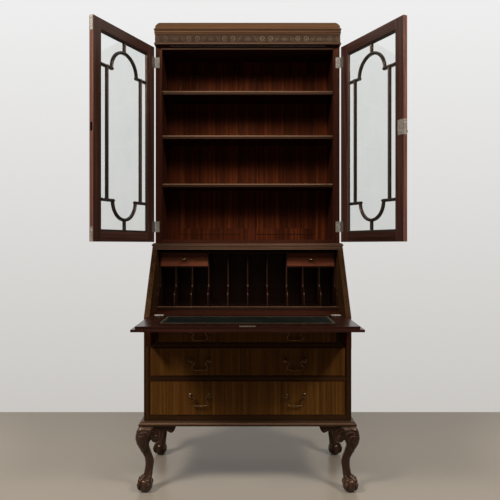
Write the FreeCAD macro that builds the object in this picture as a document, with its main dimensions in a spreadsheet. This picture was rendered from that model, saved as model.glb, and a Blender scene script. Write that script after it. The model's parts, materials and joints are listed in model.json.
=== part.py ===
"""A bureau bookcase: a fall-front desk on claw feet under a glazed bookcase.

Millimetres. X runs along the front, Y from the front to the back, Z up from the floor.
The rest pose is the open one: fall down on the lopers, doors swung out, drawers in.
"""

import FreeCAD, Part
import math
import os
import re

import Sketcher

Vector = FreeCAD.Vector
doc = FreeCAD.newDocument("bureau_bookcase")

# Driving sizes, and the sizes worked out from them

SIZES = (
    # clearances between pieces that move and the overrun of every cutting tool
    ("run_gap", 0.5),
    ("face_gap", 1),
    ("cut_over", 2),
    # the bureau's case
    ("case_width", 910),
    ("case_depth", 460),
    ("front_place", -69),
    ("side_wall", 24),
    ("case_half", "=case_width / 2"),
    ("inner_half", "=case_half - side_wall"),
    ("case_back", "=front_place + case_depth"),
    ("back_wall", 8),
    ("back_inside", "=case_back - back_wall"),
    ("leg_height", 295),
    ("base_height", 16),
    ("base_reach", 20),
    ("bottom_board", 22),
    ("rail_board", 18),
    ("rail_depth", 64),
    ("runner_width", 48),
    ("dust_panel", 6),
    ("low_opening", 154),
    ("middle_opening", 127),
    ("top_opening", 101),
    ("case_floor", "=leg_height"),
    ("base_top", "=leg_height + base_height"),
    ("low_floor", "=base_top + bottom_board"),
    ("low_head", "=low_floor + low_opening"),
    ("middle_floor", "=low_head + rail_board"),
    ("middle_head", "=middle_floor + middle_opening"),
    ("top_floor", "=middle_head + rail_board"),
    ("top_head", "=top_floor + top_opening"),
    # the writing bed, the slope over it and the bureau's top
    ("fall_inner", 10),
    ("fall_lip", 10),
    ("bed_board", "=fall_inner + fall_lip"),
    ("bed_top", "=top_head + bed_board"),
    ("hinge_setback", 16),
    ("hinge_place", "=front_place + hinge_setback"),
    ("slope_angle", 53),
    ("slope_rise", 287),
    ("top_board", 18),
    ("top_under", "=bed_top + slope_rise"),
    ("bureau_top", "=top_under + top_board"),
    ("fall_lap", "=fall_inner - run_gap"),
    ("slope_foot", "=bed_top - hinge_setback * tan(slope_angle) + fall_lap / cos(slope_angle)"),
    ("slope_head", "=hinge_place + slope_rise / tan(slope_angle) - fall_lap / sin(slope_angle)"),
    ("top_nose", 9.5),
    ("nose_rise", "=top_nose * tan(slope_angle)"),
    # lopers
    ("loper_thick", 22),
    ("loper_wall", 12),
    ("loper_length", 400),
    ("left_loper_out", 90),
    ("right_loper_out", 140),
    ("loper_outer", "=inner_half - run_gap"),
    ("loper_inner", "=loper_outer - loper_thick"),
    ("wall_outer", "=loper_inner - run_gap"),
    ("wall_inner", "=wall_outer - loper_wall"),
    # the three long drawers
    ("drawer_front", 20),
    ("drawer_depth", 420),
    ("drawer_side", 10),
    ("drawer_floor", 6),
    ("drawer_lift", 4),
    ("drawer_drop", 14),
    ("front_gap", 1.5),
    # swan-neck handles
    ("handle_inset", 223),
    ("handle_place", "=inner_half - handle_inset"),
    ("post_spread", 83),
    ("post_drop_share", 0.445),
    ("rosette_radius", 11),
    ("rosette_thick", 3),
    ("post_radius", 4),
    ("post_reach", 15),
    ("knob_radius", 6),
    ("bail_radius", 2.8),
    ("bail_drop", 39),
    ("pin_depth", 3),
    # the fall
    ("lip_side", 14.5),
    ("lip_end", 15),
    ("fall_reach", "=(slope_rise - fall_inner * cos(slope_angle)) / sin(slope_angle) - run_gap"),
    ("fall_front", "=hinge_place - fall_reach"),
    ("leather_side", 78),
    ("leather_near", 28),
    ("leather_border", 85),
    ("leather_half", "=inner_half - leather_side"),
    ("leather_far", "=fall_reach - hinge_setback - leather_border"),
    ("leather_thick", 1.2),
    ("fall_lock_width", 62),
    ("fall_lock_depth", 24),
    ("plate_thick", 1.5),
    ("bureau_hinge_inset", 21),
    ("bureau_hinge_length", 40),
    ("bureau_hinge_far", "=inner_half - bureau_hinge_inset"),
    ("bureau_hinge_near", "=bureau_hinge_far - bureau_hinge_length"),
    ("bureau_leaf", 20),
    ("pin_radius", 2.6),
    ("pin_room", 3.2),
    # pigeonholes
    ("unit_side_gap", 1),
    ("unit_base", 16),
    ("unit_board", 6),
    ("unit_top", 8),
    ("unit_back", 5),
    ("unit_headroom", 10),
    ("unit_front", 220),
    ("unit_setback", 290),
    ("side_bay", 240),
    ("small_opening", 62),
    ("ogee_foot", 53),
    ("ogee_head", 101),
    ("ogee_bulge", 7),
    ("small_front", 8),
    ("small_depth", 150),
    ("small_side", 5),
    ("small_knob", 8),
    ("small_knob_reach", 16),
    ("unit_half", "=inner_half - unit_side_gap"),
    ("column_place", "=unit_half - side_bay"),
    ("centre_pitch", "=column_place / 2"),
    ("side_pitch", "=side_bay / 3"),
    ("unit_floor", "=bed_top + unit_base"),
    ("unit_head", "=bed_top + slope_rise - unit_headroom"),
    ("unit_ceiling", "=unit_head - unit_top"),
    ("small_floor", "=unit_ceiling - small_opening"),
    ("unit_nose", "=front_place + unit_front"),
    ("unit_face", "=front_place + unit_setback"),
    ("unit_inside", "=back_inside - unit_back"),
    # the bookcase
    ("upper_inset", 12.5),
    ("upper_setback", 245),
    ("upper_wall", 31),
    ("upper_floor_board", 30),
    ("upper_top_board", 16),
    ("upper_height", 961),
    ("upper_half", "=case_half - upper_inset"),
    ("upper_inner", "=upper_half - upper_wall"),
    ("upper_front", "=front_place + upper_setback"),
    ("upper_floor", "=bureau_top + upper_floor_board"),
    ("upper_head", "=bureau_top + upper_height"),
    ("upper_ceiling", "=upper_head - upper_top_board"),
    ("waist_height", 14),
    ("waist_reach", 16),
    ("waist_lip", 2.5),
    ("back_frame", 16),
    ("back_stile", 65),
    ("back_muntin", 78),
    ("back_rail", 60),
    ("panel_thick", 7),
    ("panel_setback", 6),
    ("frame_front", "=case_back - back_frame"),
    ("shelf_thick", 17),
    ("shelf_setback", 15),
    ("shelf_gap", 0.5),
    ("low_shelf", 301),
    ("middle_shelf", 534.5),
    ("high_shelf", 749),
    ("peg_radius", 3.5),
    ("peg_reach", 9),
    ("peg_inset", 34),
    # frieze and cornice
    ("frieze_height", 68),
    ("frieze_thick", 22),
    ("frieze_bead", 8),
    ("bead_reach", 4),
    ("cornice_height", 43),
    ("cornice_reach", 5),
    ("cornice_fall", 18),
    ("cornice_splay", 14),
    ("frieze_front", "=upper_front - frieze_thick"),
    ("frieze_top", "=upper_head + frieze_height"),
    ("cornice_top", "=frieze_top + cornice_height"),
    # the glazed doors, each drawn shut about its own hinge line
    ("door_gap", 3),
    ("door_thick", 20),
    ("door_foot", 19),
    ("door_headroom", 7),
    ("meeting_gap", 2),
    ("stile_width", 50),
    ("top_rail", 45),
    ("bottom_rail", 44),
    ("door_hinge_half", "=upper_half + door_gap"),
    ("door_width", "=door_hinge_half - door_gap - meeting_gap / 2"),
    ("door_far", "=door_gap + door_width"),
    ("door_floor", "=bureau_top + door_foot"),
    ("door_head", "=upper_head - door_headroom"),
    ("door_height", "=door_head - door_floor"),
    ("door_line", "=upper_front - door_gap / 2"),
    ("door_back", "=-door_gap / 2"),
    ("door_face", "=door_back - door_thick"),
    ("glass_thick", 3),
    ("glass_depth", 6),
    ("bar_width", 10),
    ("bead_width", 9),
    ("bead_depth", 7),
    ("bar_inset", 49.75),
    ("bar_drop", 185),
    ("low_bar", 179),
    ("arch_inset", 31),
    ("low_arch_inset", 39),
    ("bar_place", "=door_width / 2 - stile_width - bar_inset"),
    ("high_bar", "=door_height - bar_drop"),
    ("high_arch", "=bar_place - arch_inset"),
    ("low_arch", "=bar_place - low_arch_inset"),
    ("left_door_turn", 115),
    ("right_door_turn", 116),
    ("butt_height", 51),
    ("butt_width", 22),
    ("butt_thick", 1.2),
    ("butt_radius", 2.7),
    ("butt_inset", 47.5),
    ("knuckle_gap", 0.3),
    # bolts, locks and key
    ("bolt_plate_length", 62),
    ("bolt_plate_width", 14),
    ("bolt_radius", 3),
    ("bolt_length", 40),
    ("bolt_travel", 9),
    ("lock_height", 64),
    ("lock_width", 34),
    ("lock_place", 475),
    ("lock_bolt_height", 18),
    ("lock_bolt_thick", 5),
    ("key_place", 460),
    ("key_inset", 19),
    ("key_radius", 2.5),
    ("escutcheon_radius", 7.5),
    ("key_reach", 8),
    ("key_bow", 5),
    ("key_wire", 2),
    # legs: a cabriole on a ball held by four claws
    ("knee_width", 60),
    ("knee_reach", 22),
    ("ball_inset", 5),
    ("ball_radius", 31),
    ("ball_middle", 31),
    ("toe_radius", 8.5),
    ("bracket_thick", 18),
    ("bracket_reach", 141),
    ("bracket_drop", 75),
)

sheet = doc.addObject("Spreadsheet::Sheet", "Sizes")
for row, (alias, value) in enumerate(SIZES, start=1):
    sheet.set(f"A{row}", str(value))
    sheet.setAlias(f"A{row}", alias)
doc.recompute()


def size(alias):
    """The value of one cell of the sheet."""
    return float(getattr(sheet, alias))


# Ways of making pieces


def sheet_names(text):
    """An expression with each name of the sheet written as a reference to its cell."""
    return re.sub(r"\b([a-z]+(?:_[a-z]+)+)\b", r"Sizes.\1", text)


def bind(piece, target, text):
    """Tie a property to an expression written with the sheet's names."""
    piece.setExpression(target, sheet_names(text))


def board(name, x, y, z):
    """A straight board between a pair of expressions along each axis."""
    piece = doc.addObject("Part::Box", name)
    for (low, high), length, axis in zip((x, y, z), ("Length", "Width", "Height"), "xyz"):
        bind(piece, length, f"({high}) - ({low})")
        bind(piece, f"Placement.Base.{axis}", low)
    return piece


ROD_SIDES = 8
PEG_SIDES = 6
ROUND_SIDES = 12
TRUE_ROUND = 0


def rod(name, radius, length, place, along="z", sides=ROD_SIDES):
    """A slim rod, round or with so many flat sides; its radius, length and start are expressions."""
    piece = doc.addObject("Part::Prism" if sides else "Part::Cylinder", name)
    if sides:
        piece.Polygon = sides
    bind(piece, "Circumradius" if sides else "Radius", radius)
    bind(piece, "Height", length)
    turned = {"z": Vector(0, 0, 1), "x": Vector(1, 0, 0), "-y": Vector(0, -1, 0)}[along]
    piece.Placement = FreeCAD.Placement(Vector(), FreeCAD.Rotation(Vector(0, 0, 1), turned))
    for axis, text in zip("xyz", place):
        bind(piece, f"Placement.Base.{axis}", text)
    return piece


def outline(name, plane, points, low, high):
    """A PartDesign body: an outline of bound corners, padded between two places along its normal."""
    body = doc.addObject("PartDesign::Body", name)
    sketch = body.newObject("Sketcher::SketchObject", f"{name}_outline")
    support = [feature for feature in body.Origin.OriginFeatures if feature.Role == plane][0]
    sketch.AttachmentSupport = [(support, "")]
    sketch.MapMode = "FlatFace"
    bind(sketch, "AttachmentOffset.Base.z", low)
    corners = [(sheet_value(across), sheet_value(up)) for across, up in points]
    for number, corner in enumerate(corners):
        after = corners[(number + 1) % len(corners)]
        sketch.addGeometry(Part.LineSegment(Vector(*corner, 0), Vector(*after, 0)), False)
    for number in range(len(points)):
        following = (number + 1) % len(points)
        sketch.addConstraint(Sketcher.Constraint("Coincident", number, 2, following, 1))
    for number, (place, corner) in enumerate(zip(points, corners)):
        for kind, text, value in zip(("DistanceX", "DistanceY"), place, corner):
            constraint = sketch.addConstraint(Sketcher.Constraint(kind, -1, 1, number, 1, value))
            bind(sketch, f"Constraints[{constraint}]", text)
    pad = body.newObject("PartDesign::Pad", f"{name}_pad")
    pad.Profile = sketch
    bind(pad, "Length", f"({high}) - ({low})")
    return body


def sheet_value(text):
    """What an expression in the sheet's names comes to, for a sketch's first drawing."""
    return float(sheet.evalExpression(sheet_names(text)))


def cut(name, base, *tools):
    """A piece with other pieces taken out of it."""
    tool = tools[0] if len(tools) == 1 else gather(f"{name}_tools", tools)
    piece = doc.addObject("Part::Cut", name)
    piece.Base = base
    piece.Tool = tool
    return piece


def gather(name, pieces):
    """Several pieces kept together, each a solid of its own."""
    piece = doc.addObject("Part::Compound", name)
    piece.Links = list(pieces)
    return piece


def joined(name, pieces):
    """Several pieces made into one solid."""
    piece = doc.addObject("Part::MultiFuse", name)
    piece.Shapes = list(pieces)
    return piece


def shaped(name, shape):
    """A form that neither a sketch nor a primitive gives."""
    piece = doc.addObject("Part::Feature", name)
    piece.Shape = shape
    return piece


nodes = []


def node(label, piece):
    """Name a finished sub-part; its label is the name of its file."""
    piece.Label = label
    nodes.append(piece)
    return piece


def both(text):
    """The span from minus an expression to plus it."""
    return f"-({text})", text


def sided(side, near, far):
    """A span along X on the right (side 1) or mirrored to the left (side -1)."""
    return (near, far) if side > 0 else (f"-({far})", f"-({near})")


def run(start, *steps):
    """A wire from a start: a step is an end point, or the middle and end of an arc."""
    edges = []
    here = Vector(*start)
    for step in steps:
        end = Vector(*step[-3:])
        if len(step) == 3:
            edges.append(Part.LineSegment(here, end).toShape())
        else:
            edges.append(Part.Arc(here, Vector(*step[:3]), end).toShape())
        here = end
    return Part.Wire(edges)


def ring(centre, along, across, radius, sides):
    """Corners of a regular polygon about a centre, square to a direction."""
    third = along.cross(across)
    corners = []
    for number in range(sides):
        angle = 2 * math.pi * number / sides
        corners.append(centre + across * (radius * math.cos(angle)) + third * (radius * math.sin(angle)))
    return corners


def plane_face(corners):
    """The flat face inside a closed outline of corners."""
    return Part.Face(Part.makePolygon(list(corners) + [corners[0]]))


def faceted(rings):
    """A solid of flat faces through rings of corners, closed by the first and the last ring."""
    faces = [plane_face(rings[0]), plane_face(rings[-1])]
    for near, far in zip(rings, rings[1:]):
        for number, corner in enumerate(near):
            after = (number + 1) % len(near)
            faces.append(plane_face((corner, near[after], far[after])))
            faces.append(plane_face((corner, far[after], far[number])))
    solid = Part.makeSolid(Part.makeShell(faces))
    if solid.Volume < 0:
        solid.reverse()
    return solid


SIDES = (("left", -1), ("right", 1))

# The bureau's case


def bureau_case():
    """Sides with the slope cut on them, the top with its bevelled nose, back, bed and rails."""
    side_corners = [
        ("front_place", "case_floor"),
        ("case_back", "case_floor"),
        ("case_back", "top_under"),
        ("slope_head", "top_under"),
        ("front_place", "slope_foot"),
    ]
    for name, side in SIDES:
        wall = outline(f"case_{name}", "YZ_Plane", side_corners, *sided(side, "inner_half", "case_half"))
        node(f"bureau_side_{name}", wall)
    top_corners = [
        ("slope_head", "top_under"),
        ("case_back", "top_under"),
        ("case_back", "bureau_top"),
        ("slope_head + top_nose", "bureau_top"),
        ("slope_head + top_nose", "top_under + nose_rise"),
    ]
    node("bureau_top", outline("case_top", "YZ_Plane", top_corners, *both("case_half")))
    inside = both("inner_half")
    back_span = ("back_inside", "case_back")
    node("bureau_back", board("case_back_board", inside, back_span, ("case_floor", "top_under")))
    bed_corners = [
        ("front_place", "top_head"),
        ("back_inside", "top_head"),
        ("back_inside", "bed_top"),
        ("hinge_place + run_gap", "bed_top"),
        ("hinge_place + run_gap", "bed_top - fall_inner - run_gap"),
        ("front_place", "bed_top - fall_inner - run_gap"),
    ]
    bed = outline("bed", "YZ_Plane", bed_corners, *both("inner_half"))
    node("writing_bed", cut("bed_cut", bed, *[hinge_recess(name, side, 1) for name, side in SIDES]))


def hinge_recess(name, side, toward):
    """The pocket for one leaf and its pin, in the bed (1) or in the fall (-1)."""
    along = sided(side, "bureau_hinge_near - run_gap", "bureau_hinge_far + run_gap")
    leaf = ("hinge_place - cut_over", "hinge_place + bureau_leaf")
    pin = ("hinge_place - cut_over", "hinge_place + pin_room")
    if toward < 0:
        leaf = ("hinge_place - bureau_leaf", "hinge_place + cut_over")
        pin = ("hinge_place - pin_room", "hinge_place + cut_over")
    where = f"{name}_{'bed' if toward > 0 else 'fall'}"
    shallow = board(f"leaf_pocket_{where}", along, leaf, ("bed_top - plate_thick", "bed_top + cut_over"))
    deep = board(f"pin_pocket_{where}", along, pin, ("bed_top - pin_room", "bed_top + cut_over"))
    return joined(f"hinge_pocket_{where}", [shallow, deep])


def drawer_frames():
    """Two dust frames between the drawers, the bottom board and the walls beside the top drawer."""
    pieces = []
    for level in ("low_head", "middle_head"):
        heights = (level, f"{level} + rail_board")
        middle = f"{level} + rail_board / 2"
        near = ("front_place", "front_place + rail_depth")
        pieces.append(board(f"rail_{level}", both("inner_half"), near, heights))
        for name, side in SIDES:
            across = sided(side, "inner_half - runner_width", "inner_half")
            deep = ("front_place + rail_depth", "back_inside")
            pieces.append(board(f"runner_{level}_{name}", across, deep, heights))
        pieces.append(
            board(
                f"dust_{level}",
                both("inner_half - runner_width"),
                ("front_place + rail_depth", "back_inside"),
                (f"{middle} - dust_panel / 2", f"{middle} + dust_panel / 2"),
            )
        )
    deep = ("front_place", "back_inside")
    pieces.append(board("bottom", both("inner_half"), deep, ("base_top", "low_floor")))
    behind = ("front_place", "front_place + rail_depth")
    pieces.append(board("bottom_rail_board", both("inner_half"), behind, ("case_floor", "base_top")))
    for name, side in SIDES:
        across = sided(side, "wall_inner", "wall_outer")
        pieces.append(board(f"wall_{name}", across, deep, ("top_floor", "top_head")))
    node("drawer_rails", gather("rails", pieces))


def lopers():
    """The two sliding bars that the open fall lies on."""
    for name, side in SIDES:
        out = f"{name}_loper_out"
        across = sided(side, "loper_inner", "loper_outer")
        along = (f"front_place - {out}", f"front_place - {out} + loper_length")
        heights = ("top_floor + run_gap", "top_head - run_gap")
        node(f"loper_{name}", board(f"loper_bar_{name}", across, along, heights))


def moulding(name, half, front, profile):
    """A moulding round the front and both sides, in three lengths mitred at the front corners."""
    edge = size(half)
    face = sheet_value(front)
    rear = size("case_back")
    path = run((-edge, rear, 0), (-edge, face, 0), (edge, face, 0), (edge, rear, 0))
    steps = []
    for step in profile:
        places = [(-edge - out, rear, up) for out, up in zip(step[::2], step[1::2])]
        steps.append(tuple(number for place in places for number in place))
    whole = path.makePipeShell([run(steps[0], *steps[1:], steps[0])], True, True, 1)
    far = rear - face
    near = far / 2
    mitres = [
        Vector(-edge - far, face - far, 0),
        Vector(edge + far, face - far, 0),
        Vector(edge - near, face + near, 0),
        Vector(-edge + near, face + near, 0),
    ]
    wedge = plane_face(mitres).extrude(Vector(0, 0, size("cornice_top") + size("cut_over")))
    return shaped(name, Part.makeCompound([whole.common(wedge)] + whole.cut(wedge).Solids))


def base_moulding():
    """A thumb moulding on a fillet under the lowest drawer."""
    low = size("case_floor")
    high = size("base_top")
    reach = size("base_reach")
    step = (high - low) / 4
    profile = [
        (0, low),
        (reach - step, low),
        (reach, low + step, reach - step, low + 2 * step),
        (reach - step, low + 3 * step),
        (reach / 2, high - step, 0, high),
    ]
    node("base_moulding", moulding("base_run", "case_half", "front_place", profile))


# Drawers and their handles


def drawer(name, half, floor, head, handled=True):
    """A long drawer: front, and a box of two sides, back and floor."""
    edge = f"{half} - front_gap"
    inside = f"{edge} - drawer_side"
    back = "front_place + drawer_depth"
    top = f"{head} - drawer_drop"
    front_span = ("front_place", "front_place + drawer_front")
    deep = ("front_place + drawer_front", back)
    face = board(f"{name}_face", both(edge), front_span, (f"{floor} + face_gap", f"{head} - front_gap"))
    node(f"{name}_front", face)
    pieces = []
    for side_name, side in SIDES:
        across = sided(side, inside, edge)
        pieces.append(board(f"{name}_side_{side_name}", across, deep, (f"{floor} + run_gap", top)))
    floor_span = (f"{floor} + drawer_lift", f"{floor} + drawer_lift + drawer_floor")
    pieces.append(board(f"{name}_floor", both(inside), deep, floor_span))
    pieces.append(board(f"{name}_back", both(inside), (f"{back} - drawer_side", back), (floor_span[1], top)))
    node(f"{name}_box", gather(f"{name}_pieces", pieces))
    posts = []
    for side_name, side in SIDES:
        centre = ("-(%s)" if side < 0 else "%s") % "handle_place"
        height = f"{head} - post_drop_share * (({head}) - ({floor}))"
        for end, sign in (("in", "-"), ("out", "+")):
            posts.append(post(f"{name}_{side_name}_{end}", f"{centre} {sign} post_spread / 2", height))
        node(f"{name}_bail_{side_name}", bail(f"{name}_swing_{side_name}", centre, height))
    node(f"{name}_posts", gather(f"{name}_post_set", posts))


HEAD_SHARES = ((-0.9, 0.5), (-0.4, 1), (0.5, 0.95), (1, 0.4))


def turned_head(name, place, radius, sides):
    """A round head that faces the front, about a place, turned with flat sides."""
    middle = Vector(*[sheet_value(text) for text in place])
    reach = size(radius)
    forward = Vector(0, -1, 0)
    rings = []
    for along, wide in HEAD_SHARES:
        rings.append(ring(middle + forward * (along * reach), forward, Vector(1, 0, 0), wide * reach, sides))
    return shaped(name, faceted(rings))


def post(name, across, height):
    """A rosette, a stem and a round head bored for the end of the bail."""
    foot = (across, "front_place", height)
    rose = rod(f"{name}_rose", "rosette_radius", "rosette_thick", foot, "-y", ROUND_SIDES)
    stem = rod(f"{name}_stem", "post_radius", "post_reach", foot, "-y")
    place = (across, "front_place - post_reach", height)
    knob = turned_head(f"{name}_head", place, "knob_radius", ROD_SIDES)
    bore_start = f"{across} - knob_radius - cut_over"
    bore = rod(
        f"{name}_bore",
        "bail_radius + run_gap",
        "2 * (knob_radius + cut_over)",
        (bore_start, "front_place - post_reach", height),
        "x",
        ROUND_SIDES,
    )
    return cut(f"{name}_bored", joined(f"{name}_solid", [rose, stem, knob]), bore)


BAIL_SHARES = ((0.7, 0), (0.61, 0.08), (0.62, 0.25), (0.76, 0.47), (0.82, 0.7), (0.66, 0.95), (0, 1.02))
TUBE_SIDES = 6


def tube(points, radii, across):
    """A tube of flat sides through points in one plane, whose normal is given."""
    rings = []
    for number, (point, radius) in enumerate(zip(points, radii)):
        before = points[max(number - 1, 0)]
        after = points[min(number + 1, len(points) - 1)]
        rings.append(ring(point, (after - before).normalize(), across, radius, TUBE_SIDES))
    return faceted(rings)


def bail(name, centre, height):
    """A swan-neck bail that hangs between the heads of its two posts."""
    middle = Vector(sheet_value(centre), sheet_value("front_place - post_reach"), sheet_value(height))
    half = size("post_spread") / 2
    end = half - size("knob_radius") + size("pin_depth")
    drop = size("bail_drop")
    right = [Vector(end, 0, 0)] + [Vector(half * out, 0, -drop * down) for out, down in BAIL_SHARES]
    left = [Vector(-point.x, 0, point.z) for point in right]
    points = [middle + point for point in left[:-1] + right[::-1]]
    return shaped(name, tube(points, [size("bail_radius")] * len(points), Vector(0, 1, 0)))


# The fall


def fall():
    """Two layers that lip over the case, leather let into the writing side, lock plate and hinges."""
    half = "inner_half - front_gap"
    heights = ("bed_top - fall_inner", "bed_top")
    inner = board("fall_inner_board", both(half), ("fall_front", "hinge_place"), heights)
    pocket = board(
        "leather_pocket",
        both("leather_half"),
        ("front_place - leather_far", "front_place - leather_near"),
        ("bed_top - leather_thick", "bed_top + cut_over"),
    )
    lock_pocket = board(
        "lock_pocket",
        both("fall_lock_width / 2"),
        ("fall_front - cut_over", "fall_front + fall_lock_depth"),
        ("bed_top - plate_thick", "bed_top + cut_over"),
    )
    pockets = [pocket, lock_pocket] + [hinge_recess(name, side, -1) for name, side in SIDES]
    panel = cut("fall_panel", inner, *pockets)
    lip = board(
        "fall_lip_board",
        both(f"{half} + lip_side"),
        ("fall_front - lip_end", "front_place - run_gap"),
        ("bed_top - fall_inner - fall_lip", "bed_top - fall_inner"),
    )
    node("fall_board", gather("fall_layers", [panel, lip]))
    leather = board(
        "leather_sheet",
        both("leather_half"),
        ("front_place - leather_far", "front_place - leather_near"),
        ("bed_top - leather_thick", "bed_top"),
    )
    node("fall_leather", leather)
    plate = board(
        "lock_plate",
        both("fall_lock_width / 2"),
        ("fall_front", "fall_front + fall_lock_depth"),
        ("bed_top - plate_thick", "bed_top"),
    )
    node("fall_lock", plate)
    fixed = []
    moving = []
    for name, side in SIDES:
        fixed += bureau_hinge(name, side, 1)
        moving += bureau_hinge(name, side, -1)
    node("fall_hinges", gather("fall_hinge_set", moving))
    return fixed


def bureau_hinge(name, side, toward):
    """One leaf of a flush hinge with its knuckles: two on the bed's leaf, one on the fall's."""
    where = f"{name}_{'bed' if toward > 0 else 'fall'}"
    third = "(bureau_hinge_far - bureau_hinge_near) / 3"
    if toward > 0:
        across_leaf = ("hinge_place + pin_room", "hinge_place + bureau_leaf")
        spans = [
            ("bureau_hinge_near", f"bureau_hinge_near + {third} - knuckle_gap"),
            (f"bureau_hinge_far - {third} + knuckle_gap", "bureau_hinge_far"),
        ]
        tab = ("hinge_place", "hinge_place + pin_room + knuckle_gap")
    else:
        across_leaf = ("hinge_place - bureau_leaf", "hinge_place - pin_room")
        spans = [(f"bureau_hinge_near + {third}", f"bureau_hinge_far - {third}")]
        tab = ("hinge_place - pin_room - knuckle_gap", "hinge_place")
    heights = ("bed_top - plate_thick", "bed_top")
    leaf = board(f"leaf_{where}", sided(side, "bureau_hinge_near", "bureau_hinge_far"), across_leaf, heights)
    pieces = [leaf]
    for number, (near, far) in enumerate(spans):
        low, high = sided(side, near, far)
        place = (low, "hinge_place", "bed_top")
        sides = TRUE_ROUND if toward < 0 and number == 0 else ROD_SIDES
        long = f"({high}) - ({low})"
        pieces.append(rod(f"knuckle_{where}_{number}", "pin_radius", long, place, "x", sides))
        pieces.append(board(f"tab_{where}_{number}", (low, high), tab, heights))
    return [joined(f"hinge_{where}", pieces)]


# The pigeonholes behind the fall


def divider(name, place):
    """An upright with an ogee front, standing on the unit's base; place is its left face."""
    across = sheet_value(place)
    floor = size("unit_floor")
    head = size("unit_ceiling")
    nose = size("unit_nose") + size("unit_board")
    face = size("unit_face")
    inside = size("unit_inside")
    low = floor + size("ogee_foot")
    high = floor + size("ogee_head")
    middle_y = (nose + face) / 2
    middle_z = (low + high) / 2
    bulge = size("ogee_bulge")
    corners = run(
        (across, nose, floor),
        (across, inside, floor),
        (across, inside, head),
        (across, face, head),
        (across, face, high),
        (across, (face + middle_y + bulge) / 2, (high + middle_z) / 2 - bulge, across, middle_y, middle_z),
        (across, (nose + middle_y - bulge) / 2, (low + middle_z) / 2 + bulge, across, nose, low),
        (across, nose, floor),
    )
    return shaped(name, Part.Face(corners).extrude(Vector(size("unit_board"), 0, 0)))


def pigeonholes():
    """Base, ends, top, back and two drawer shelves, then the uprights and the small drawers."""
    half = "unit_half"
    deep = ("unit_face", "unit_inside")
    pieces = [
        board("unit_base_board", both(half), ("unit_nose", "back_inside"), ("bed_top", "unit_floor")),
        board("unit_top_board", both(half), ("unit_face", "back_inside"), ("unit_ceiling", "unit_head")),
        board("unit_back_board", both(half), ("unit_inside", "back_inside"), ("unit_floor", "unit_ceiling")),
        divider("unit_end_left", "-(unit_half)"),
        divider("unit_end_right", "unit_half - unit_board"),
    ]
    for name, side in SIDES:
        across = sided(side, "column_place + unit_board / 2", "unit_half - unit_board")
        pieces.append(board(f"unit_shelf_{name}", across, deep, ("small_floor - unit_board", "small_floor")))
    node("pigeonhole_case", gather("unit_pieces", pieces))
    tall = [divider("divider_centre", "-(unit_board) / 2")]
    short = []
    for name, side in SIDES:
        sign = "-" if side < 0 else ""
        tall.append(divider(f"divider_half_{name}", f"{sign}centre_pitch - unit_board / 2"))
        tall.append(divider(f"divider_column_{name}", f"{sign}column_place - unit_board / 2"))
        for count in ("1", "2"):
            place = f"{sign}(column_place + {count} * side_pitch) - unit_board / 2"
            upright = divider(f"divider_{name}_{count}", place)
            short.append(trimmed(upright, f"divider_under_{name}_{count}", "small_floor - unit_board"))
    node("pigeonhole_dividers", gather("dividers", tall + short))
    for name, side in SIDES:
        small_drawer(name, side)


def trimmed(piece, name, head):
    """The part of an upright under a height."""
    over = board(
        f"{name}_over",
        both("case_half"),
        ("front_place", "case_back"),
        (head, "bureau_top"),
    )
    return cut(name, piece, over)


def small_drawer(name, side):
    """A small drawer over the outer pigeonholes, with a turned knob."""
    near = "column_place + unit_board / 2 + run_gap"
    far = "unit_half - unit_board - run_gap"
    heights = ("small_floor + run_gap", "unit_ceiling - run_gap")
    back = "unit_face + small_depth"
    deep = ("unit_face + small_front", back)
    thick = ("unit_face", "unit_face + small_front")
    pieces = [board(f"small_{name}_face", sided(side, near, far), thick, heights)]
    low, high = heights
    walls = (low, f"{high} - drawer_drop / 2")
    pieces.append(board(f"small_{name}_in", sided(side, near, f"{near} + small_side"), deep, walls))
    pieces.append(board(f"small_{name}_out", sided(side, f"{far} - small_side", far), deep, walls))
    inside = sided(side, f"{near} + small_side", f"{far} - small_side")
    pieces.append(board(f"small_{name}_floor", inside, deep, (low, f"{low} + small_side")))
    over_floor = (f"{low} + small_side", walls[1])
    pieces.append(board(f"small_{name}_back", inside, (f"{back} - small_side", back), over_floor))
    centre = f"({near} + {far}) / 2"
    place = (centre if side > 0 else f"-({centre})", "unit_face", "(small_floor + unit_ceiling) / 2")
    stem = rod(f"small_{name}_stem", "small_knob / 2", "small_knob_reach", place, "-y")
    head_place = (place[0], "unit_face - small_knob_reach", place[2])
    head = turned_head(f"small_{name}_head", head_place, "small_knob", ROUND_SIDES)
    pieces.append(joined(f"small_{name}_knob", [stem, head]))
    node(f"small_drawer_{name}", gather(f"small_{name}_pieces", pieces))


# The bookcase


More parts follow.
